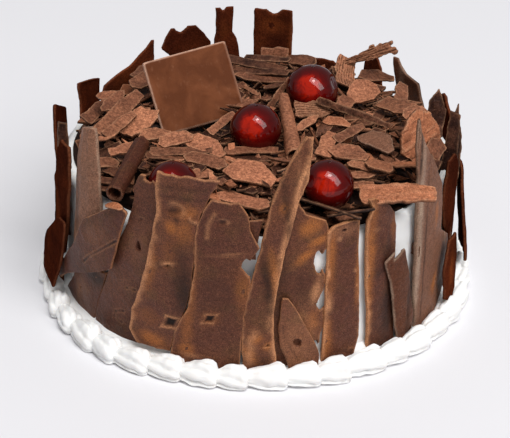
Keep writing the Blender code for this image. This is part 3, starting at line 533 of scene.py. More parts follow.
def makeShard(name, look):
    # a sheet in azimuth and height that fills the CAD shard's outline: torn edges are noise along each edge, the
    # thickness falls to nothing at the rim as a quarter circle, notches cut the sheet, holes are shallow pits painted
    # near-black as the shade inside a hole, and marks raise, sink or tint it, with painted highlights on rims and
    # ridges and painted shade in cracks and pits
    seed = int(name[-2:])
    front = seed < 18 and seed not in (8, 9)
    cell = (0.62 if front else 1.1) * mm
    heights, turns, radii = readShard(name)
    reach = radii[..., 1].max()
    tall = heights[-1] - heights[0]
    wide = (turns[:, -1] - turns[:, 0]).max() * reach
    v, u = np.meshgrid(samples(tall, cell), samples(wide, cell), indexing="ij")
    z = heights[0] + v[:, 0] * tall
    left = np.interp(z, heights, turns[:, 0])[:, None]
    right = np.interp(z, heights, turns[:, -1])[:, None]
    columns = np.linspace(0, 1, turns.shape[1])

    def between(table, share):
        # the table's value at each row's height and each column's share
        byRow = np.stack([np.interp(z, heights, table[:, c]) for c in range(len(columns))], -1)
        place = share * (len(columns) - 1)
        low = np.clip(place.astype(int), 0, len(columns) - 2)
        rowIndex = np.arange(len(z))[:, None]
        return byRow[rowIndex, low] + (byRow[rowIndex, low + 1] - byRow[rowIndex, low]) * (place - low)

    rag = look["rag"] * mm
    tornLeft = rag * (0.55 * line(z, 7 * mm, seed) + 0.35 * line(z, 2.2 * mm, seed + 50) - 0.15)[:, None] / reach
    tornRight = rag * (0.55 * line(z, 7 * mm, seed + 100) + 0.35 * line(z, 2.2 * mm, seed + 150) - 0.15)[:, None] / reach
    span = (right - left) * reach
    quiet = smooth(1.0 * mm, 6 * mm, span)
    left = left - (tornLeft + look.get("grow", (0, 0))[0] * mm / reach) * quiet
    right = right + (tornRight + look.get("grow", (0, 0))[1] * mm / reach) * quiet
    turn = left + (right - left) * u
    across = turn * reach
    tornTop = rag * (0.9 * line(across[-1], 6 * mm, seed + 200) + 0.6 * line(across[-1], 1.9 * mm, seed + 250) - 0.7)
    tornFoot = rag * (0.9 * line(across[0], 6 * mm, seed + 300) + 0.7 * line(across[0], 1.9 * mm, seed + 350))
    drop, jag = look.get("foot", (2.0, 1.0) if front else (0, 1.0))
    height = z[:, None] + tornTop[None] * v ** 9 - (tornFoot[None] * 0.8 * jag + drop * mm) * (1 - v) ** 9
    height = np.maximum(height, 0.4 * mm + 0.02 * z[:, None])
    middle = (between(radii[..., 0], u) + between(radii[..., 1], u)) / 2
    half = (between(radii[..., 1], u) - between(radii[..., 0], u)) / 2

    toLeft, toRight = (turn - left) * reach, (right - turn) * reach
    toTop, toFoot = (1 - v) * tall, v * tall
    edge = np.minimum(np.minimum(toLeft, toRight), np.minimum(toTop, toFoot))
    rim = np.zeros_like(u)
    wobble = 0.62 + 0.40 * softNoise(np.stack([across, height, 0 * u + seed], -1), 3.5 * mm, seed)
    # rims: pale melted edges, wider on the lit sides and partly painted highlights
    for distance, width in zip((toLeft, toRight, toTop, toFoot), look["rims"]):
        rim = np.maximum(rim, np.exp(-np.clip(distance / (width * mm * wobble), 0, 9) ** 2) * min(1, 0.45 + 0.3 * width))
    melt, shade, raised, cut = np.zeros_like(u), np.zeros_like(u), 0.35 * mm * rim * (np.array(look["rims"]).max() > 1), np.full_like(u, 1.0)

    def spot(acrossShare, upShare):
        # place in mm-true coordinates of a share of the width at that height
        at = heights[0] + upShare * tall
        low, high = np.interp(at, heights, turns[:, 0]), np.interp(at, heights, turns[:, -1])
        return (low + acrossShare * (high - low)) * reach, at

    rough = 0.22 * softNoise(np.stack([across, height, 0 * u], -1), 3.5 * mm, seed + 7)
    for kind, x, y, *rest in look["marks"]:
        x, y = spot(x, y)
        if kind in ("crack", "ridge"):
            endX, endY = spot(rest[0], rest[1])
            width, strength = rest[2] * (0.55 if kind == "crack" else 0.9) * mm, rest[3] * (0.75 if kind == "crack" else 1)
            along = np.clip(((across - x) * (endX - x) + (height - y) * (endY - y)) / ((endX - x) ** 2 + (endY - y) ** 2), 0, 1)
            bend = mm * (0.5 * line(along * 12 * mm, 3 * mm, seed + 9) + 0.9 * np.sin(along * 3.14))
            away = np.hypot(across - x - along * (endX - x) + bend, height - y - along * (endY - y)) / width
            mask = np.exp(-away ** 2) * strength
            if kind == "crack":
                # a crack sinks and is painted dark with shade, with a faint painted highlight along its sides
                raised = raised - 0.5 * mm * mask
                shade = np.maximum(shade, np.clip(mask, 0, 0.95))
                rim = np.maximum(rim, 0.30 * np.exp(-(away - 1.9) ** 2 * 2.5) * strength)
            else:
                # a ridge rises and its crest is painted as a highlight
                raised = raised + 0.45 * mm * mask
                rim = np.maximum(rim, np.clip(mask * (0.85 + rough), 0, 1))
        else:
            tilt = math.radians(rest[2])
            dx = ((across - x) * math.cos(tilt) + (height - y) * math.sin(tilt)) / (rest[0] * mm)
            dy = (-(across - x) * math.sin(tilt) + (height - y) * math.cos(tilt)) / (rest[1] * mm)
            if kind == "hole":
                # a hole is a shallow pit painted near-black as the shade inside it, with a painted highlight on two
                # opposite sides of its rim
                away = (np.abs(dx) ** 0.85 + np.abs(dy) ** 0.85) ** (1 / 0.85) + rough * 0.8
                deep = 1 - smooth(0.8, 1.35, away)
                raised = raised - 0.9 * mm * deep
                shade = np.maximum(shade, 0.97 * deep)
                rim = np.maximum(rim, np.exp(-((away - 1.75) / 0.38) ** 2) * np.clip(np.abs(dx + dy) * 0.45, 0, 1))
            elif kind == "notch":
                away = (np.abs(dx) ** 1.3 + np.abs(dy) ** 1.3) ** (1 / 1.3) + rough * 0.9
                cut = np.minimum(cut, (away - 1) * min(rest[0], rest[1]))
                rim = np.maximum(rim, 0.6 * np.exp(-((away - 1) * min(rest[0], rest[1]) / 0.5) ** 2))
            else:
                away = np.sqrt(dx ** 2 + dy ** 2) + rough
                mask = np.exp(-away ** 2.4) * rest[3]
                if kind == "melt":
                    # melt: orange melt, partly a painted glow
                    melt = np.maximum(melt, mask)
                elif kind == "dark":
                    # dark marks: painted shade, and a few dark streaks in the chocolate
                    shade = np.maximum(shade, mask)
                elif kind == "pit":
                    # a pit sinks, painted with shade inside and a highlight on one side of its rim
                    raised = raised - 0.7 * mm * mask
                    rim = np.maximum(rim, 0.5 * np.exp(-(away - 1.15) ** 2 * 9) * rest[3] * np.clip(0.3 + 0.6 * (dx + dy), 0, 1))
                    shade = np.maximum(shade, 0.65 * np.exp(-(away / 0.8) ** 2) * rest[3])
                else:
                    # spots: pale tan marks, partly painted highlights
                    rim = np.maximum(rim, mask)
                    raised = raised + 0.25 * mm * mask

    # cells wholly outside the cuts stay, and points at a cut's rim slide onto it
    step = cut * mm
    gradX = np.gradient(step, axis=1) / np.maximum(np.abs(np.gradient(across, axis=1)), 1e-7)
    gradY = np.gradient(step, axis=0) / np.maximum(np.abs(np.gradient(height, axis=0)), 1e-7)
    size = np.maximum(gradX ** 2 + gradY ** 2, 0.05)
    keep = (cut[:-1, :-1] + cut[1:, :-1] + cut[:-1, 1:] + cut[1:, 1:]) > 0
    faces, atRim = sheetFaces(keep)
    inner = atRim & (edge > 1e-9)
    slide = np.where(inner, np.clip(step / size, -0.7 * cell, 0.7 * cell), 0)
    turn = turn - slide * gradX / reach
    height = height - slide * gradY
    edge = np.where(inner, 0, np.minimum(edge, np.maximum(step, 0.0)))
    edge = np.where(atRim, 0, edge)

    place = polar(turn, reach, height)
    waves = 0.60 * mm * softNoise(place, 26 * mm, 11) + 0.34 * mm * softNoise(place, 9 * mm, 12)
    fine = 0.11 * mm * softNoise(place, 3.2 * mm, 13) + 0.05 * mm * softNoise(place, 1.3 * mm, 14)
    thick = half * np.sqrt(np.clip(1 - (1 - np.clip(edge / (0.55 * mm), 0, 1)) ** 2, 0, 1))
    waves = waves * smooth(0, 3 * mm, np.minimum(toTop, toFoot) + 2 * mm)
    frontFace = polar(turn, middle + waves + thick + (raised + fine) * np.clip(thick / half, 0, 1), height)
    backFace = polar(turn, middle + waves - thick + 0.5 * fine * np.clip(thick / half, 0, 1), height)
    tone = np.full_like(u, look["tone"])
    marks = np.stack([np.clip(rim, 0, 1), np.clip(melt * 0.85, 0, 1), np.clip(shade, 0, 0.95), tone], -1)
    behind = np.stack([0.5 * rim, 0.4 * melt, 0.3 * shade, tone * 0.8], -1)
    finishAndPaintedLight = backlitRedBark if look.get("red") else greyBark if look.get("grey") else barkFinish
    putMesh(name.replace("shard", "bark"), [(np.concatenate([frontFace.reshape(-1, 3), backFace.reshape(-1, 3)]), faces, None,
            np.concatenate([marks.reshape(-1, 4), behind.reshape(-1, 4)]))], finishAndPaintedLight, [name])


# a darker, redder copy of the bark for the shards at the sides and back: it paints their shade and the red glow of
# light shining through them
backlitRedBark = chocolateMaterial("backlitRedBark", dict(barkLook, base=(0.060, 0.015, 0.008), warm=(0.125, 0.030, 0.012), olive=(0.035, 0.010, 0.007),
                                            melt=(0.26, 0.062, 0.016), rim=(0.22, 0.075, 0.035), specular=0.0))
greyBark = chocolateMaterial("greyBark", dict(barkLook, base=(0.185, 0.088, 0.055), warm=(0.215, 0.100, 0.060), olive=(0.160, 0.092, 0.062),
                                              mottle=0.4, rim=(0.36, 0.25, 0.18), specular=0.05))
for shardName, shardLook in barkShards.items():
    makeShard(shardName, shardLook)
print("bark done")



heapLow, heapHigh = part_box("shaving_heap")
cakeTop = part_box("cake")[1].z


def turnMatrix(turn, pitch, tip):
    # degrees: tip about the length, then pitch of the length, then turn about Z
    a, b, c = map(math.radians, (turn, -pitch, tip))
    rz = np.array([(math.cos(a), -math.sin(a), 0), (math.sin(a), math.cos(a), 0), (0, 0, 1)])
    ry = np.array([(math.cos(b), 0, math.sin(b)), (0, 1, 0), (-math.sin(b), 0, math.cos(b))])
    rx = np.array([(1, 0, 0), (0, math.cos(c), -math.sin(c)), (0, math.sin(c), math.cos(c))])
    return rz @ ry @ rx


# outlines as corners in half lengths and half widths
outlines = {
    "chunk": [(-1, -0.35), (-0.72, -0.95), (0.1, -0.82), (0.75, -1), (1, -0.1), (0.7, 0.85), (0.05, 1), (-0.8, 0.7)],
    "wedge": [(-1, -0.2), (-0.5, -0.9), (0.9, -1), (1, -0.3), (0.35, 0.95), (-0.55, 1)],
    "strip": [(-1, -0.4), (-0.9, -1), (0.2, -0.8), (0.95, -0.6), (1, 0.5), (0.3, 0.9), (-0.4, 0.75), (-0.95, 0.8)],
    "spear": [(-1, 0.1), (-0.6, -0.8), (0.3, -1), (1, -0.15), (0.6, 0.7), (-0.2, 1), (-0.8, 0.7)],
    "square": [(-1, -0.85), (0.9, -1), (1, 0.8), (0.2, 1), (-0.15, 0.82), (-0.95, 0.95)],
    "leaf": [(-1, -0.1), (-0.7, -0.7), (0, -1), (0.7, -0.75), (1, 0), (0.85, 0.6), (0.3, 1), (-0.35, 0.8), (-0.75, 0.5)],
    "torn": [(-1, -0.6), (-0.3, -0.75), (0.35, -1), (1, -0.7), (0.8, 0.05), (0.98, 0.6), (0.4, 0.75), (0.1, 1), (-0.4, 0.65), (-0.9, 0.9)],
}


def insideOf(x, y, corners):
    # distance to a polygon, positive inside
    near, inside = np.full_like(x, 1e9), np.zeros(x.shape, bool)
    for (ax, ay), (bx, by) in zip(corners, corners[1:] + corners[:1]):
        along = np.clip(((x - ax) * (bx - ax) + (y - ay) * (by - ay)) / ((bx - ax) ** 2 + (by - ay) ** 2), 0, 1)
        near = np.minimum(near, np.hypot(x - ax - along * (bx - ax), y - ay - along * (by - ay)))
        crosses = ((ay > y) != (by > y)) & (x < (bx - ax) * (y - ay) / (by - ay + 1e-12) + ax)
        inside ^= crosses
    return np.where(inside, near, -near)


def platePart(look, centre, seed):
    # a broken plate: a grid in its length and width, kept inside a polygon whose edge is ragged with noise, bent along its
    # length and cupped across it, with lumps, long grooves or ridges on its face and a thickness that rounds off at the rim
    shape = dict(thick=1.5, bend=0.0, cup=0.0, rag=0.5, lumps=0.25, streak=0.0, ridges=0, ridgeHigh=0.0, wave=0.0, fan=0.0, tone=0.5,
                 rim=0.75, outline="chunk", twist=0.0, shade=0.0, melt=0.0, cell=0.6)
    shape.update(look)
    hl, hw, cell = shape["length"] / 2, shape["width"] / 2, shape["cell"]
    reach = max(hl, hw) * 0.06 + 1.0
    x, y = np.meshgrid(np.arange(-hl - reach, hl + reach, cell), np.arange(-hw - reach, hw + reach, cell), indexing="ij")
    spot = np.stack([x, y, 0 * x + 13.7 * seed], -1)
    gape = 1 + shape["fan"] * x / hl
    d = insideOf(x, y / gape, [(cx * hl, cy * hw) for cx, cy in outlines[shape["outline"]]])
    d = d + shape["rag"] * (0.6 * softNoise(spot, 4.0, 1) + 0.5 * softNoise(spot, 1.5, 2))
    keep = (d[:-1, :-1] + d[1:, :-1] + d[:-1, 1:] + d[1:, 1:]) > 0
    faces, atRim = slabFaces(keep)
    gx, gy = np.gradient(d, cell)
    size = np.maximum(gx ** 2 + gy ** 2, 0.2)
    slide = np.where(atRim, np.clip(d / size, -0.7 * cell, 0.7 * cell), 0)
    x, y = x - slide * gx, y - slide * gy
    d = np.where(atRim, 0, np.maximum(d, 0))
    z = shape["bend"] * (1 - (x / hl) ** 2) + shape["cup"] * ((y / hw) ** 2 - 0.5) + shape["twist"] * x * y / (hl * hw)
    z = z + 0.5 * softNoise(spot, 9.0, 3)
    top = shape["lumps"] * (softNoise(spot, 2.6, 4) + 0.6 * softNoise(spot, 1.2, 5))
    # rim: pale edge, painted as a highlight
    rim = 0.9 * np.exp(-(d / 0.45) ** 2) * shape["rim"] * (0.7 + 0.6 * softNoise(spot, 2.0, 11))
    # shade: painted shade over the plate, for plates that lie in shadow
    shade = np.clip(0.35 * shape["shade"] * (1 + softNoise(spot, 3.0, 6)), 0, 1)
    if shape["streak"]:
        long = spot * (0.16, 1, 1)
        grooves = softNoise(long, 1.3, 7) + 0.7 * softNoise(long, 0.7, 8)
        top = top + shape["streak"] * grooves
        # groove crests painted as highlights and hollows with painted shade
        rim = np.maximum(rim, 0.5 * np.clip(grooves - 0.3, 0, 1))
        shade = np.maximum(shade, 0.65 * np.clip(-grooves - 0.35, 0, 1))
    if shape["ridges"]:
        phase = shape["ridges"] * math.pi * (y / gape / (2 * hw) + shape["wave"] * np.sin(x / hl * 2.6) + 0.05 * softNoise(spot, 4, 9))
        wave = np.abs(np.cos(phase)) ** 0.75
        top = top + shape["ridgeHigh"] * (wave - 0.4)
        # ridge crests painted as highlights and troughs with painted shade
        rim = np.maximum(rim, 0.42 * smooth(0.55, 0.95, wave))
        shade = np.maximum(shade, 0.8 * (1 - smooth(0.05, 0.5, wave)))
    half = shape["thick"] / 2 * (0.72 + 0.28 * np.clip(d / 0.9, 0, 1))
    lift = 0.3 + 0.7 * np.clip(d / 0.8, 0, 1)
    upper, under = np.stack([x, y, z + half + top * lift], -1), np.stack([x, y, z - half + 0.3 * top * lift], -1)
    verts = np.concatenate([upper.reshape(-1, 3), under.reshape(-1, 3)]) * mm
    verts = verts @ turnMatrix(shape["turn"], shape["pitch"], shape["tip"]).T + np.asarray(centre)
    tone = np.clip(shape["tone"] + 0.16 * softNoise(spot, 5.0, 10), 0, 1)
    marks = np.stack([rim, 0 * rim + shape["melt"], shade, tone], -1).reshape(-1, 4)
    # the underside: painted shade, half the tone and no rim
    dim = marks * (0, 1, 1, 0.5) + (0, 0, 0.75, 0)
    return verts, faces, None, np.concatenate([np.clip(marks, 0, 1), np.clip(dim, 0, 0.95)])


# the large flakes that the frame holds: sizes in mm, turns in degrees
bigFlakes = {
    "curl_a": dict(turn=88, pitch=12, tip=25, length=28, width=12.5, thick=1.4, bend=-2.4, outline="square", ridges=9, ridgeHigh=0.8, wave=0.03, fan=-0.12, tone=0.68, rag=0.6, cell=0.42),
    "curl_b": dict(turn=8, pitch=2, tip=24, length=19.5, width=12, thick=1.5, bend=-1.5, outline="torn", ridges=8, ridgeHigh=1.0, wave=0.07, fan=-0.15, tone=0.40, rag=0.7, cell=0.42),
    "curl_c": dict(shift=(-5, 0, -3), turn=-14, pitch=27, tip=58, length=36, width=6.6, thick=1.1, bend=-0.8, outline="torn", ridges=6, ridgeHigh=0.7, wave=0.03, fan=0.68, tone=0.5, rag=1.5, cell=0.42),
    "flake_a": dict(turn=-8, pitch=-2, tip=6, length=26, width=19, thick=1.4, bend=0.8, outline="wedge", tone=0.95, lumps=0.12, rag=0.6),
    "flake_b": dict(turn=-24, pitch=-2, tip=-4, length=27, width=12.5, thick=1.4, bend=-0.8, outline="chunk", tone=0.95, lumps=0.15, rag=0.8),
    "flake_c": dict(shift=(-1, -2, -3), turn=2, pitch=1, tip=18, length=35, width=13.5, thick=2.2, bend=0.8, outline="strip", tone=0.85, streak=0.6, lumps=0.35, melt=0.30, rag=0.9),
    "flake_d": dict(turn=48, pitch=6, tip=62, length=30, width=27, thick=2.2, bend=1.2, outline="leaf", tone=0.66, streak=0.6, lumps=0.4, melt=0.34, rag=0.9),
    "flake_e": dict(turn=62, pitch=12, tip=6, length=24, width=16, thick=1.6, bend=-1.0, outline="torn", tone=0.80, lumps=0.3, rag=1.0),
    "flake_f": dict(turn=-30, pitch=-3, tip=6, length=21, width=15, thick=1.4, bend=1.0, outline="wedge", tone=0.58, lumps=0.32, rag=0.6),
    "flake_g": dict(turn=40, pitch=10, tip=16, length=20, width=16, thick=1.6, bend=1.6, cup=0.8, outline="leaf", tone=0.76, lumps=0.14, rag=0.4, rim=0.4),
    "flake_h": dict(turn=2, pitch=0, tip=80, length=16, width=11, thick=1.6, bend=0.4, outline="square", tone=0.56, lumps=0.1, rag=0.3),
}
greyFlakes = ("flake_f",)
for number, (flakeName, look) in enumerate(bigFlakes.items()):
    low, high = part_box(flakeName)
    middle = (np.array(low) + np.array(high)) / 2 + np.array(look.get("shift", (0, 0, 0))) * mm
    finishAndPaintedLight = greyBark if flakeName in greyFlakes else shavingFinish
    putMesh(flakeName.replace("_", "Piece_"), [platePart(look, middle, number + 1)], finishAndPaintedLight, [flakeName], sharp=48)

# loose plates between them: place in mm from the heap's middle and above the cake's top, turn, pitch and tip, length, width, then the rest
# a shade value paints shade on a plate that lies in shadow
loosePlates = [
    (-69, -3, 17.5, 68, 4, 24, 46, 10, dict(outline="strip", tone=0.46, thick=1.3)),
    (-67, -20, 19.0, 64, 2, 18, 28, 7, dict(outline="strip", tone=0.52, thick=1.2)),
    (-73, 8, 18.5, 70, 4, 20, 26, 7, dict(outline="spear", tone=0.40, thick=1.2)),
    (-81, 3, 15.5, 66, 2, 30, 24, 8, dict(outline="strip", tone=0.30, thick=1.2)),
    (-72, -31, 17.5, 44, 6, -10, 13, 7, dict(outline="spear", tone=0.86, thick=1.0)),
    (-63, -43, 17.0, 26, 8, 10, 15, 8, dict(outline="torn", tone=0.88, thick=1.1)),
    (-50, -29, 18.5, 30, 0, 12, 17, 9, dict(outline="wedge", tone=0.62, thick=1.2)),
    (-39, -35, 19.0, 18, 6, 20, 18, 9, dict(outline="chunk", tone=0.74, thick=1.2)),
    (-25, -38, 18.0, -28, -4, 14, 25, 11, dict(outline="wedge", tone=0.92, lumps=0.35, thick=1.4)),
    (-18, -15, 18.5, 56, 8, 30, 22, 5, dict(outline="strip", tone=0.70, thick=1.2)),
    (-36, -43, 16.6, 1, 2, 6, 30, 8, dict(outline="strip", tone=0.50, thick=1.0, shade=0.6)),
    (-38, -46, 14.8, -3, -2, 4, 30, 7, dict(outline="strip", tone=0.40, thick=1.0, shade=0.8)),
    (-36, -49, 13.2, -8, 2, 2, 26, 7, dict(outline="spear", tone=0.34, thick=1.0, shade=0.8)),
    (-24, -50, 15.4, -22, -4, 12, 22, 9, dict(outline="chunk", tone=0.50, thick=1.2)),
    (-2, 58, 19.5, -15, -4, 14, 34, 8, dict(outline="strip", tone=0.36, thick=1.1, shade=0.5)),
    (-1, 53, 17.6, -10, 2, 10, 34, 8, dict(outline="strip", tone=0.44, thick=1.1, shade=0.5)),
    (2, 48, 15.8, -3, -3, 8, 32, 9, dict(outline="spear", tone=0.62, thick=1.1)),
    (4, 62, 21.0, -18, 6, 20, 26, 6, dict(outline="strip", tone=0.30, thick=1.1, shade=0.4)),
    (-4, 31, 16.0, -68, 10, 40, 20, 2.6, dict(outline="strip", tone=0.80, thick=1.0)),
    (10, 22, 18.5, 66, 14, 50, 28, 4, dict(outline="strip", tone=0.28, thick=1.2)),
    (33, -34, 17.5, 76, 4, 10, 24, 9, dict(outline="strip", tone=0.88, thick=1.2, rim=0.4)),
    (38, -16, 21.0, -8, 2, 24, 15, 6, dict(outline="wedge", tone=0.85, melt=0.25, thick=1.2)),
    (24, -14, 19.0, 48, 10, 20, 18, 5, dict(outline="spear", tone=0.72, thick=1.1)),
    (47, -6, 21.5, -30, -6, 62, 42, 4.2, dict(outline="strip", tone=0.16, thick=1.4, bend=1.0)),
    (44, -23, 18.5, 42, 6, 26, 20, 6, dict(outline="strip", tone=0.36, thick=1.2)),
    (43, -42, 17.2, -10, -2, 4, 20, 14, dict(outline="wedge", tone=0.62, lumps=0.3, thick=1.3)),
    (69, 8, 19.5, -40, 6, 12, 20, 14, dict(outline="torn", tone=0.50, thick=1.3)),
    (78, -4, 20.5, 10, 10, 30, 14, 11, dict(outline="spear", tone=0.62, thick=1.3)),
    (57, -55, 17.0, -24, -2, -10, 15, 14, dict(outline="wedge", tone=0.70, melt=0.2, streak=0.15, thick=1.3)),
    (70, -50, 15.5, -6, 4, -16, 16, 13, dict(outline="chunk", tone=0.66, melt=0.3, thick=1.3)),
    (48, -53, 16.0, -22, -4, 8, 13, 6, dict(outline="chunk", tone=0.64, thick=1.0)),
    (49, -59, 14.2, 4, 2, 8, 14, 6, dict(outline="spear", tone=0.52, thick=1.0)),
    (47, -66, 12.8, 12, 0, 6, 14, 6, dict(outline="strip", tone=0.46, thick=1.0)),
    (31, -86, 11.5, -24, -6, -26, 34, 9, dict(outline="strip", tone=0.10, thick=1.5, rim=1.0, shade=1.0)),
    (42, -88, 10.0, 14, 4, -30, 22, 9, dict(outline="wedge", tone=0.12, thick=1.4, rim=0.9, shade=1.0)),
    (-3, -37, 15.0, 4, 0, 4, 26, 8, dict(outline="strip", tone=0.56, thick=1.2, rim=0.6, shade=0.4)),
    (-6, -41, 12.6, -4, 0, 2, 26, 8, dict(outline="strip", tone=0.22, thick=1.2, shade=0.9)),
    (-66, -58, 12.5, -52, 10, 20, 22, 6, dict(outline="spear", tone=0.28, thick=1.2)),
    (-72, -52, 14.0, 20, -6, 16, 16, 8, dict(outline="chunk", tone=0.34, thick=1.2)),
    (-68, -63, 10.0, -16, 4, 6, 18, 6, dict(outline="strip", tone=0.30, thick=1.1, rim=0.6)),
    (-66, -66, 7.6, -8, 2, 4, 18, 6, dict(outline="strip", tone=0.26, thick=1.1, rim=0.6)),
    (-27, -60, 13.0, 24, 4, 10, 14, 8, dict(outline="chunk", tone=0.72, thick=1.1)),
    (-18, -66, 11.0, -30, 2, 12, 16, 8, dict(outline="wedge", tone=0.66, thick=1.1)),
    (-76, 22, 15.5, -8, 10, 20, 16, 7, dict(outline="spear", tone=0.66, thick=1.1)),
    (-58, 40, 17.5, 40, 4, 10, 24, 12, dict(outline="chunk", tone=0.56, thick=1.3)),
    (-40, 52, 18.0, -24, 6, -14, 26, 11, dict(outline="wedge", tone=0.66, thick=1.3)),
    (-62, 58, 14.0, 70, 2, 12, 20, 9, dict(outline="strip", tone=0.42, thick=1.2)),
    (-24, 72, 15.0, 12, -4, -12, 24, 10, dict(outline="torn", tone=0.74, thick=1.2)),
    (22, 72, 16.5, -34, 6, 10, 22, 11, dict(outline="chunk", tone=0.48, thick=1.3)),
    (62, 60, 13.5, 24, -6, 20, 22, 9, dict(outline="wedge", tone=0.60, thick=1.2)),
    (74, 34, 15.5, 80, 4, 24, 20, 9, dict(outline="strip", tone=0.52, thick=1.2)),
    (-12, 14, 16.5, -12, 4, 6, 24, 10, dict(outline="torn", tone=0.46, thick=1.2)),
    (44, 16, 17.0, 70, -4, 18, 18, 9, dict(outline="chunk", tone=0.56, thick=1.2)),
    (12, 40, 16.0, 30, 2, -14, 22, 9, dict(outline="spear", tone=0.38, thick=1.2)),
    # dark sheets low between the shards, tone 0 with painted shade, standing in for the shade in the gaps there
    (-93, -31, -6, 105, 84, 4, 60, 8, dict(outline="strip", tone=0.0, thick=1.2, shade=0.8)),
    (93.5, -24, -6, 75, 82, 4, 72, 9, dict(outline="strip", tone=0.0, thick=1.2, shade=0.8)),
    (96, -14, -2, 80, 84, 4, 66, 9, dict(outline="spear", tone=0.0, thick=1.2, shade=0.8)),
    (89, 6, 14, 84, 70, 6, 30, 10, dict(outline="spear", tone=0.05, thick=1.2, shade=0.6)),
    (84, -32, 13, 66, 20, 40, 20, 10, dict(outline="chunk", tone=0.35, thick=1.3)),
    (80, -44, 12, 52, 10, 30, 18, 10, dict(outline="torn", tone=0.10, thick=1.3, shade=0.6)),
    (-64, -82, 6.5, -38, 8, 20, 11, 4, dict(outline="leaf", tone=0.75, melt=0.5, thick=1.0, bend=1.2)),
    (12, -84, 9.5, 6, 4, -8, 26, 8, dict(outline="strip", tone=0.02, thick=1.2, shade=0.9)),
]
plateParts = []
for number, (x, y, up, turn, pitch, tip, length, width, rest) in enumerate(loosePlates):
    spot = ((heapLow.x + heapHigh.x) / 2 + x * mm, (heapLow.y + heapHigh.y) / 2 + y * mm, cakeTop + up * mm)
    rest["tone"] *= 0.85 * (1 - 0.6 * smooth(25, 55, y))
    plateParts.append(platePart(dict(rest, turn=turn, pitch=pitch, tip=tip, length=length, width=width), spot, 40 + number))
putMesh("loosePlates", plateParts, shavingFinish, sharp=48)
print("plates done")


rolls = {
    "roll_a": dict(turns=1.35, tone=0.60, wall=0.9, rag=1.0, rim=0.5, finishAndPaintedLight="shaving"),
    "roll_b": dict(turns=1.7, tone=0.10, wall=1.0, rag=3.2, rim=0.12, finishAndPaintedLight="bark"),
}


def makeRoll(name, look, seed):
    # a rolled sheet: a spiral section carried along the CAD rod's axis, with torn ends and a wall that thins at its rims
    co = nodePoints(name)
    middle = co.mean(0)
    along = np.linalg.svd(co - middle, full_matrices=False)[2][0]
    t = (co - middle) @ along
    radius = np.linalg.norm(co - middle - t[:, None] * along, axis=1)
    firstR, lastR = radius[t < 0].max(), radius[t > 0].max()
    side = np.cross(along, (0, 0, 1.0))
    side /= np.linalg.norm(side)
    up = np.cross(side, along)
    length = t.max() - t.min()
    v, u = np.meshgrid(samples(length, 0.6 * mm, (0.2, 0.6)), samples(2 * math.pi * look["turns"] * radius.max(), 0.55 * mm, (0.2, 0.6)), indexing="ij")
    angle = 2 * math.pi * look["turns"] * u + (2.2 if look.get("ridges") else 3.6)
    spot = np.stack([v * length, np.cos(angle) * 6 * mm, np.sin(angle) * 6 * mm], -1)
    torn = look["rag"] * mm * (0.5 * line(u[0] * 0.03, 6 * mm, seed) + 0.4 * line(u[0] * 0.03, 1.6 * mm, seed + 1) - 0.4)[None]
    place = t.min() + v * length + torn * v ** 5 - torn * (1 - v) ** 5
    wall = look["wall"] * mm
    fullR = firstR + (lastR - firstR) * v
    r = fullR * (0.80 + 0.18 * u) + 0.25 * mm * softNoise(spot, 7 * mm, seed + 2) - wall / 2
    edge = np.minimum(np.minimum(u, 1 - u) * 2 * math.pi * look["turns"] * radius.max(), np.minimum(v, 1 - v) * length)
    half = wall / 2 * np.sqrt(np.clip(1 - (1 - np.clip(edge / (0.5 * mm), 0, 1)) ** 2, 0, 1))
    grain = 0.10 * mm * softNoise(spot * (0.2, 1, 1), 1.4 * mm, seed + 3) + 0.06 * mm * softNoise(spot, 1.2 * mm, seed + 4)
    # rim: pale torn edges, painted partly as a highlight
    rim = look["rim"] * np.exp(-(edge / (0.7 * mm)) ** 2)
    shade = 0.0 * u
    if look.get("ridges"):
        wave = np.abs(np.cos(look["ridges"] * math.pi * u + 0.8 * np.sin(v * 3)))
        grain = grain + 0.9 * mm * (wave - 0.6)
        # groove hollows painted with shade and crests painted as highlights
        shade = 0.75 * (1 - smooth(0.1, 0.5, wave))
        rim = np.maximum(rim, 0.4 * smooth(0.6, 1, wave))
        r = r * (0.75 + 0.35 * v)
    lift = np.clip(half / (wall / 2), 0, 1)

    def ring(distance):
        return middle + place[..., None] * along + distance[..., None] * (np.cos(angle)[..., None] * side + np.sin(angle)[..., None] * up)

    faces, _ = sheetFaces(np.ones((u.shape[0] - 1, u.shape[1] - 1), bool))
    tone = look["tone"] + 0.10 * softNoise(spot, 8 * mm, seed + 5)
    marks = np.stack([rim, 0 * rim, shade, tone], -1).reshape(-1, 4)
    verts = np.concatenate([ring(r + half + grain * lift).reshape(-1, 3), ring(r - half).reshape(-1, 3)])
    finishAndPaintedLight = barkFinish if look["finishAndPaintedLight"] == "bark" else shavingFinish
    # the inner face takes a darker tone, as painted shade inside the roll
    putMesh(name.replace("_", "Piece_"), [(verts, faces, None, np.concatenate([marks, marks * (1, 1, 1, 0.6)]))], finishAndPaintedLight, [name])


for number, (rollName, look) in enumerate(rolls.items()):
    makeRoll(rollName, look, 60 + 10 * number)
print("rolls done")



heapLook = dict(radius=92.5, seed=5, chips=520, slivers=620, crumbs=1500, curls=70)
rng = np.random.default_rng(heapLook["seed"])


def heapTop(x, y):
    # usual height of the shavings: a low dome with soft unevenness that runs down at its rim, in metres
    r = np.hypot(x, y)
    flat = cakeTop + 11.0 * mm + 2.2 * mm * softNoise(np.stack([x, y, 0 * x], -1), 30 * mm, 31)
    return flat - 9.0 * mm * smooth(76 * mm, 95 * mm, r) + 1.5 * mm * (1 - (r / 0.094) ** 2)


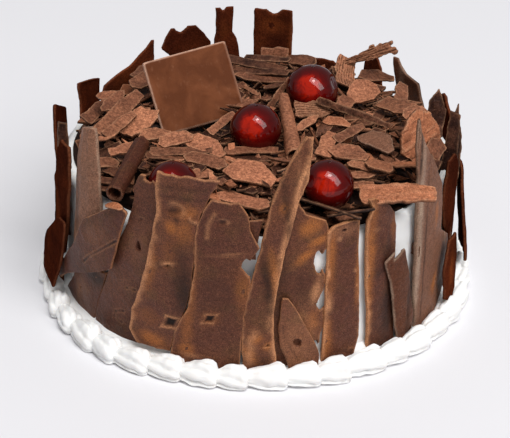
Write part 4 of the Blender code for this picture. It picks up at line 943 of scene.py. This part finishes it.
# what stands in the heap: middle and radius of the footprint, and how high shavings may reach over it
covers = []
for name in nodes:
    if name.startswith(("cherry", "flake", "curl", "roll", "plaque")):
        low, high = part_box(name)
        shrink = 0.96 if name.startswith("cherry") else 0.62
        covers.append(((low.x + high.x) / 2, (low.y + high.y) / 2, (high.x - low.x) / 2 * shrink, (high.y - low.y) / 2 * shrink, low.z))


covers.append((-36 * mm, -4 * mm, 25 * mm, 11 * mm, cakeTop + 3 * mm))  # hollow in front of the plaque's foot


def underCovers(x, y, z, margin):
    # lowers points that lie under a placed thing to just below it
    for cx, cy, rx, ry, low in covers:
        inside = ((x - cx) / (rx + margin)) ** 2 + ((y - cy) / (ry + margin)) ** 2 < 1
        z = np.where(inside, np.minimum(z, low - 0.5 * mm), z)
    return z


def makeCore():
    # dark floor of the heap, painted near-black as the shade between the shavings: a round grid whose height is the
    # heap's, sunk a few mm and broken up by noise
    rings = np.linspace(1.0, heapLook["radius"], 110) * mm
    turn = np.linspace(0, 2 * math.pi, 360, endpoint=False)
    r, a = np.meshgrid(rings, turn, indexing="ij")
    x, y = r * np.sin(a), -r * np.cos(a)
    spot = np.stack([x, y, 0 * x], -1)
    chop = np.abs(softNoise(spot, 7 * mm, 41)) * 2.4 * mm + np.abs(softNoise(spot, 3 * mm, 42)) * 1.2 * mm
    z = np.maximum(heapTop(x, y) - 6.5 * mm + chop, cakeTop + 0.2 * mm)
    z = np.maximum(underCovers(x, y, z, 1 * mm), cakeTop + 0.2 * mm)
    points = np.stack([x, y, z], -1)
    points = np.concatenate([points, np.stack([x[-1], y[-1], 0 * x[-1] + cakeTop - 1.5 * mm], -1)[None]])
    verts = np.concatenate([points.reshape(-1, 3), [(0, 0, points[0, :, 2].mean()), (0, 0, cakeTop - 1.5 * mm)]])
    n = len(turn)
    k = np.arange(n)
    last = (len(points) - 1) * n
    tris = np.concatenate([np.stack([0 * k + len(verts) - 2, k, (k + 1) % n], -1),
                           np.stack([0 * k + len(verts) - 1, last + (k + 1) % n, last + k], -1)])
    # painted shade: near-black with a low tone
    marks = np.tile((0.0, 0.0, 0.88, 0.1), (len(verts), 1))
    putMesh("heapCore", [(verts, ringFaces(len(points), n)[:, ::-1], tris, marks)], shavingFinish, ["shaving_heap"])


def chipParts(count, length, width, thick, lift, lean, bend, corners, tones, nicks=3):
    # many broken chips at once: each is a random polygon with straight, nicked sides, stretched to its length and width, bent,
    # leaned, turned and laid on the heap; a middle point, two rings on top and one below
    steps = corners * nicks
    side = np.arange(corners)[None]
    cornerTurn = (side + rng.uniform(-0.32, 0.32, (count, corners))) * 2 * math.pi / corners
    cornerReach = rng.uniform(0.62, 1.0, (count, corners))
    cx, cy = cornerReach * np.cos(cornerTurn), cornerReach * np.sin(cornerTurn)
    share = np.arange(nicks) / nicks
    x = cx[:, :, None] * (1 - share) + np.roll(cx, -1, 1)[:, :, None] * share
    y = cy[:, :, None] * (1 - share) + np.roll(cy, -1, 1)[:, :, None] * share
    nick = 1 + rng.uniform(-0.08, 0.03, (count, corners, nicks))
    long = rng.uniform(*length, count)[:, None] * mm / 2
    wide = rng.uniform(*width, count)[:, None] * mm / 2
    half = rng.uniform(*thick, count)[:, None] * mm / 2
    x, y = (x * nick).reshape(count, -1) * long, (y * nick).reshape(count, -1) * wide
    rings = [(0.84, 1), (1.0, 1), (1.0, -1)]
    grid = np.stack([np.stack([x * s, y * s, half * up + 0 * x], -1) for s, up in rings], 1)
    grid[:, 0, :, 2] += rng.uniform(-0.1, 0.35, (count, steps)) * half
    grid[:, 1:, :, 2] += rng.uniform(-0.25, 0.25, (count, 1, steps)) * half[:, None]
    curve = rng.uniform(-1, 1, count)[:, None, None] * bend / long[:, :, None]
    roll = rng.uniform(-1, 1, count)[:, None, None] * bend * 0.6 / wide[:, :, None]
    grid[..., 2] += curve * grid[..., 0] ** 2 + roll * grid[..., 1] ** 2 * 0.5
    centre = np.zeros((count, 2, 3))
    centre[:, 0, 2], centre[:, 1, 2] = half[:, 0], -half[:, 0]
    local = np.concatenate([centre, grid.reshape(count, -1, 3)], 1)
    yaw = rng.uniform(0, 2 * math.pi, count)
    pitch, tip = rng.normal(0, lean, count), rng.normal(0, lean, count)
    cy, sy, cp, sp, ct, st = np.cos(yaw), np.sin(yaw), np.cos(pitch), np.sin(pitch), np.cos(tip), np.sin(tip)
    zero, one = 0 * cy, 0 * cy + 1
    rz = np.stack([cy, -sy, zero, sy, cy, zero, zero, zero, one], -1).reshape(-1, 3, 3)
    ry = np.stack([cp, zero, sp, zero, one, zero, -sp, zero, cp], -1).reshape(-1, 3, 3)
    rx = np.stack([one, zero, zero, zero, ct, -st, zero, st, ct], -1).reshape(-1, 3, 3)
    world = np.einsum("nij,nvj->nvi", rz @ ry @ rx, local)
    radius = np.sqrt(rng.uniform(0, 1, count)) * (heapLook["radius"] - 3) * mm
    around = rng.uniform(0, 2 * math.pi, count)
    px, py = radius * np.sin(around), -radius * np.cos(around)
    pz = heapTop(px, py) + rng.uniform(*lift, count) * mm
    lower = underCovers(px, py, pz, 2.5 * mm)
    pz = np.where(lower < pz, np.minimum(pz, lower - 1.0 * mm), pz)
    world = world + np.stack([px, py, pz], -1)[:, None]
    keep = (world[..., 2].min(1) > cakeTop - 4 * mm) & (np.hypot(world[..., 0], world[..., 1]).max(1) < 97 * mm)
    world = world[keep]
    world[..., 2] = np.maximum(world[..., 2], cakeTop - 0.5 * mm)
    n = len(world)
    per = 2 + 3 * steps
    k = np.arange(steps)
    after = (k + 1) % steps
    ring = [2 + steps * i for i in range(3)]
    tris = np.concatenate([np.stack([0 * k, ring[0] + k, ring[0] + after], -1), np.stack([0 * k + 1, ring[2] + after, ring[2] + k], -1)])
    quads = np.concatenate([np.stack([ring[i] + k, ring[i + 1] + k, ring[i + 1] + after, ring[i] + after], -1) for i in range(2)])
    start = (np.arange(n) * per)[:, None, None]
    tone = np.clip((rng.choice(tones, count) + rng.normal(0, 0.08, count)) * (1 - 0.7 * smooth(20 * mm, 55 * mm, py)), 0, 1)[keep]
    marks = np.zeros((n, per, 4))
    marks[..., 3] = tone[:, None]
    # the bottom middle point takes a darker tone and the lower ring painted shade, so each chip is painted dark
    # underneath, and its top rim is painted as a highlight
    marks[:, 1, 3] *= 0.6
    marks[:, ring[2]:, 2] = 0.97
    marks[:, ring[1]:ring[2], 0] = rng.uniform(0.25, 1.0, (n, 1)) * rng.uniform(0.4, 1.2, (n, steps))
    marks[:, :, 1] = np.where(rng.uniform(0, 1, n) < 0.14, rng.uniform(0.1, 0.4, n), 0)[:, None]
    return world.reshape(-1, 3), (quads[None] + start).reshape(-1, 4), (tris[None] + start).reshape(-1, 3), marks.reshape(-1, 4)


makeCore()
putMesh("chips", [chipParts(420, (12, 24), (8, 14), (0.9, 1.5), (-5.5, 1.2), 0.17, 0.20, 5, [0.0, 0.0, 0.15, 0.35, 0.6, 0.9], nicks=2),
                  chipParts(380, (7, 14), (5, 9), (0.8, 1.3), (-3, 2.2), 0.34, 0.16, 4, [0.0, 0.0, 0.1, 0.3, 0.6, 1.0], nicks=2)],
        shavingFinish, sharp=30)
putMesh("slivers", [chipParts(260, (10, 24), (2.2, 4.4), (0.8, 1.3), (-4, 2.0), 0.26, 0.16, 4, [0.0, 0.1, 0.3, 0.6, 1.0])],
        shavingFinish, sharp=30)
putMesh("crumbs", [chipParts(520, (1.5, 4.5), (1.2, 3.0), (0.7, 1.4), (-4.5, 0.5), 0.6, 0.05, 4, [0.1, 0.3, 0.6, 0.85], nicks=2)],
        shavingFinish, sharp=30)
print("heap done")



cherryLook = dict(deep=(0.040, 0.0012, 0.0010), red=(0.13, 0.0024, 0.0016), paintedGlow=(0.40, 0.012, 0.0025), roughness=0.25, swell=1.06)


def cherryMaterial(look):
    # glazed fruit: a bright heart painted low on its lit side as the glow of light through the fruit, dark red above
    # and below, streaked flesh under a wet coat
    mat, tree, shader = newMaterial("glazedCherry", look["roughness"], 0.0)
    marks = node(tree, "ShaderNodeAttribute", attribute_name="finishAndPaintedLight")
    parts = node(tree, "ShaderNodeSeparateColor")
    tree.links.new(marks.outputs["Color"], parts.inputs["Color"])
    flesh = noiseAt(tree, 240, 3.0, 0.6, warp=1.2)
    paintedHeartGlow = maths(tree, "MULTIPLY", parts.outputs[0], spread(tree, flesh, 0.28, 0.62, 0.55, 1.15))
    colour = mixed(tree, spread(tree, paintedHeartGlow, 0.05, 0.55), look["deep"], look["red"])
    colour = mixed(tree, spread(tree, paintedHeartGlow, 0.50, 1.0), colour, look["paintedGlow"])
    tree.links.new(colour, shader.inputs["Base Color"])
    shader.inputs["Coat Weight"].default_value = 0.65
    shader.inputs["Coat IOR"].default_value = 1.45
    shader.inputs["Coat Roughness"].default_value = 0.06
    bumped(tree, shader, [(noiseAt(tree, 130, 2.0), 0.0006, 0.05)])
    return mat


cherryFinish = cherryMaterial(cherryLook)


def makeCherry(name, seed):
    # a ball whose radius has soft lumps and a stem dimple; the glow mark is a soft lobe round
    # two directions low on the lit side and opposite
    low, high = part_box(name)
    middle, radius = (np.array(low) + np.array(high)) / 2, (high.z - low.z) / 2 * cherryLook["swell"]
    tilt, turn = np.meshgrid(np.linspace(0, math.pi, 62)[1:-1], np.linspace(0, 2 * math.pi, 96, endpoint=False), indexing="ij")
    way = np.stack([np.sin(tilt) * np.cos(turn), np.sin(tilt) * np.sin(turn), np.cos(tilt)], -1)
    poles = np.array([(0, 0, 1.0), (0, 0, -1.0)])
    way = np.concatenate([way.reshape(-1, 3), poles])
    dimple = np.array([math.cos(seed * 2.0) * 0.75, math.sin(seed * 2.0) * 0.75, 0.35])
    dimple /= np.linalg.norm(dimple)
    size = radius * (1 - 0.012 + 0.02 * softNoise(way, 0.9, seed) + 0.004 * softNoise(way, 0.25, seed + 1)
                     - 0.10 * np.exp(-((1 - way @ dimple) / 0.05) ** 1.2))
    verts = middle + way * size[:, None] * (1, 1, 0.97)
    n = 96
    k = np.arange(n)
    last = 59 * n
    tris = np.concatenate([np.stack([0 * k + len(verts) - 2, k, (k + 1) % n], -1), np.stack([0 * k + len(verts) - 1, last + (k + 1) % n, last + k], -1)])
    # painted glow: bright lobes low on the lit side and opposite, standing in for light shining through the fruit
    glowLobes = 0
    for lobe, width, strength in (((-0.20, -0.80, 0.56), 0.10, 1.0), ((-0.1, -0.95, 0.25), 0.30, 0.40), ((0.45, 0.80, 0.4), 0.12, 0.9), ((-0.85, 0.45, 0.3), 0.10, 0.8)):
        lobe = np.array(lobe) / np.linalg.norm(lobe)
        glowLobes = glowLobes + strength * np.exp(-((1 - way @ lobe) / width) ** 1.3)
    marks = np.stack([np.clip(glowLobes + 0.08, 0, 1), 0 * glowLobes, 0 * glowLobes, 0 * glowLobes + 0.5], -1)
    putMesh(name.replace("_", "Fruit_"), [(verts, ringFaces(60, n), tris, marks)], cherryFinish, [name])


for number, cherryName in enumerate(sorted(n for n in nodes if n.startswith("cherry"))):
    makeCherry(cherryName, 3 + number)


plaqueLook = dict(width=43.5, height=38.5, thick=4.6, bevel=0.8, turn=5.5, lean=-32, cant=-14.5)


def plaqueMaterial():
    # smooth moulded milk chocolate with cloudy bloom, faint scuffs and paler edges, a painted highlight along the bevel
    mat, tree, shader = newMaterial("plaqueChocolate", 0.38, 0.06)
    marks = node(tree, "ShaderNodeAttribute", attribute_name="finishAndPaintedLight")
    parts = node(tree, "ShaderNodeSeparateColor")
    tree.links.new(marks.outputs["Color"], parts.inputs["Color"])
    cloud = noiseAt(tree, 70, 4.0, 0.6, warp=0.5)
    scuff = noiseAt(tree, 420, 3.0, 0.65, stretch=(1.0, 1.0, 0.35))
    colour = mixed(tree, spread(tree, cloud, 0.38, 0.62), (0.118, 0.034, 0.012), (0.180, 0.056, 0.021))
    colour = mixed(tree, spread(tree, scuff, 0.60, 0.80, 0.0, 0.30), colour, (0.33, 0.15, 0.08))
    # painted highlight: the bevel mark paints the edges paler
    colour = mixed(tree, maths(tree, "MULTIPLY", parts.outputs[0], spread(tree, scuff, 0.3, 0.6, 0.6, 1.0)), colour, (0.62, 0.37, 0.26))
    tree.links.new(colour, shader.inputs["Base Color"])
    tree.links.new(spread(tree, scuff, 0.3, 0.7, 0.34, 0.48), shader.inputs["Roughness"])
    bumped(tree, shader, [(cloud, 0.0005, 0.25), (scuff, 0.0001, 0.4)])
    return mat


def makePlaque(look):
    # a square loop with rounded corners carried through a bevelled profile, from the middle of its back round to the middle
    # of its face, then leaned back and canted as the frame's tablet is
    low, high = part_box("plaque")
    middle = (np.array(low) + np.array(high)) / 2
    w, h, t, b = look["width"] / 2, look["height"] / 2, look["thick"] / 2, look["bevel"]
    share = np.linspace(0, 4, 320, endpoint=False)
    part, sector = share % 1 * 2 - 1, share.astype(int)
    power = 1 / np.maximum(np.abs(np.cos(np.arctan(part))), np.abs(np.sin(np.arctan(part))))
    squareX = np.choose(sector, [part, 0 * part + 1, -part, 0 * part - 1])
    squareZ = np.choose(sector, [0 * part - 1, part, 0 * part + 1, -part])
    loops = [(h * 0.999, t), (h * 0.6, t), (1.4, t), (0.5, t - 0.08), (0.12, t - 0.4), (0, t - 0.9), (0, 0.3), (0, -t + b + 0.35), (0.1, -t + b),
             (0.28, -t + b - 0.3), (b * 0.55, -t + b * 0.45), (b * 0.92, -t + 0.12), (b + 0.25, -t), (b + 0.5, -t)]
    loops += [(b + 0.5 + k * (h - b - 0.55) / 26, -t) for k in range(1, 27)]
    inset = np.array([l[0] for l in loops])[:, None]
    y = np.array([l[1] for l in loops])[:, None] + 0 * share
    round4 = ((np.abs(squareX) ** 44 + np.abs(squareZ) ** 44) ** (1 / 44))[None]
    roundness = np.clip(inset, 0, 3) / 3
    scale = 1 / (round4 * (1 - roundness) + roundness)
    x = squareX[None] * (w - inset * w / h) * scale
    z = squareZ[None] * (h - inset) * scale
    local = np.stack([x, y, z], -1)
    spot = local * 1.0
    nick = 0.22 * softNoise(spot, 3.2, 71) + 0.12 * softNoise(spot, 1.1, 72)
    face = np.exp(-((inset - b * 0.5) / 1.1) ** 2) * (y < 0)
    local[..., 1] += nick * face + 0.06 * softNoise(spot, 8, 73) * (y < -t + 0.2)
    local[..., 0] += 0.10 * softNoise(spot, 4, 74)
    points = (local * mm) @ (turnMatrix(look["turn"], 0, 0) @ turnMatrix(0, 0, look["lean"]) @ turnMatrix(0, -look["cant"], 0)).T + middle
    n = len(share)
    caps = points[[0, -1]].mean(1)
    verts = np.concatenate([points.reshape(-1, 3), caps])
    k = np.arange(n)
    last = (len(loops) - 1) * n
    tris = np.concatenate([np.stack([0 * k + len(verts) - 2, (k + 1) % n, k], -1), np.stack([0 * k + len(verts) - 1, last + k, last + (k + 1) % n], -1)])
    # the bevel mark is a painted highlight along the face's bevel and outer edge, stronger on the left and top sides
    # and weaker on the right
    bevel = np.exp(-((inset - b * 0.4) / (b * 0.75)) ** 4) * (y < 0) + 0.55 * (inset < 0.3)
    side = 0.45 + 0.55 * (squareX[None] < -0.95) + 0.35 * (squareZ[None] > 0.95) - 0.25 * (squareX[None] > 0.95)
    marks = np.stack([np.clip(bevel * side, 0, 1), 0 * bevel, 0 * bevel, 0 * bevel + 0.5], -1) if bevel.shape == y.shape else None
    marks = np.concatenate([np.broadcast_to(marks, (len(loops), n, 4)).reshape(-1, 4), np.zeros((2, 4))])
    putMesh("plaqueTablet", [(verts, ringFaces(len(loops), n), tris, marks)], plaqueMaterial(), ["plaque"], sharp=28)


makePlaque(plaqueLook)
print("cherries and plaque done")



stageLook = dict(floorSize=9.0, floorColour=(0.80, 0.793, 0.815), roomColour=(0.97, 0.975, 1.0), roomStrength=0.29,
                 keySize=(5.0, 1.7), keyPower=164.0, keyDistance=4.0, keyFrom=(0.30, -0.45, 0.84), keyAlong=(0.79, -0.40, -0.47),
                 sunStrength=0.45, sunAngle=10, sunFrom=(0.06, -0.32, 0.94),
                 elevation=28.83, roll=1.28, lens=98.8, place=(-0.00076, -0.63526, 0.37899))


def turnedTo(direction):
    # rotation that points a light's or camera's -Z against the given direction
    return Vector(direction).to_track_quat("Z", "Y").to_euler()


def makeStage(look):
    half = look["floorSize"] / 2
    mesh = bpy.data.meshes.new("floor")
    mesh.from_pydata([(-half, -half, 0), (half, -half, 0), (half, half, 0), (-half, half, 0)], [], [(0, 1, 2, 3)])
    floor = bpy.data.objects.new("floor", mesh)
    bpy.context.scene.collection.objects.link(floor)
    mat, tree, shader = newMaterial("floorPaint", 0.75, 0.2)
    drift = noiseAt(tree, 2.0, 1.0)
    colour = look["floorColour"]
    tree.links.new(mixed(tree, spread(tree, drift, 0.3, 0.7), colour, tuple(c * 0.995 for c in colour)), shader.inputs["Base Color"])
    mesh.materials.append(mat)

    world = bpy.data.worlds.new("room")
    bpy.context.scene.world = world
    world.use_nodes = True
    back = world.node_tree.nodes["Background"]
    back.inputs["Color"].default_value = (*look["roomColour"], 1)
    back.inputs["Strength"].default_value = look["roomStrength"]

    key = bpy.data.lights.new("softbox", "AREA")
    key.shape = "RECTANGLE"
    key.size, key.size_y = look["keySize"]
    key.energy = look["keyPower"]
    keyObject = bpy.data.objects.new("softbox", key)
    keyObject.location = [c * look["keyDistance"] for c in look["keyFrom"]]
    back = np.array(look["keyFrom"]) / np.linalg.norm(look["keyFrom"])
    along = np.array(look["keyAlong"]) - np.dot(look["keyAlong"], back) * back
    along /= np.linalg.norm(along)
    keyObject.rotation_euler = Matrix(np.stack([along, np.cross(back, along), back], 1).tolist()).to_euler()
    bpy.context.scene.collection.objects.link(keyObject)

    sun = bpy.data.lights.new("overhead", "SUN")
    sun.energy = look["sunStrength"]
    sun.angle = math.radians(look["sunAngle"])
    sunObject = bpy.data.objects.new("overhead", sun)
    sunObject.rotation_euler = turnedTo(look["sunFrom"])
    bpy.context.scene.collection.objects.link(sunObject)

    e, r = math.radians(look["elevation"]), math.radians(look["roll"])
    right = np.array([math.cos(r), math.sin(r) * math.sin(e), math.sin(r) * math.cos(e)])
    up = np.array([-math.sin(r), math.cos(r) * math.sin(e), math.cos(r) * math.cos(e)])
    back = np.array([0, -math.cos(e), math.sin(e)])
    camera = bpy.data.cameras.new("camera")
    camera.lens, camera.sensor_width = look["lens"], 36
    camera.clip_start, camera.clip_end = 0.02, 50
    eye = bpy.data.objects.new("camera", camera)
    bpy.context.scene.collection.objects.link(eye)
    eye.matrix_world = Matrix([(*row, at) for row, at in zip(np.stack([right, up, back], 1), look["place"])] + [(0, 0, 0, 1)])
    bpy.context.scene.camera = eye
    bpy.context.scene.view_settings.view_transform = "Standard"


makeStage(stageLook)
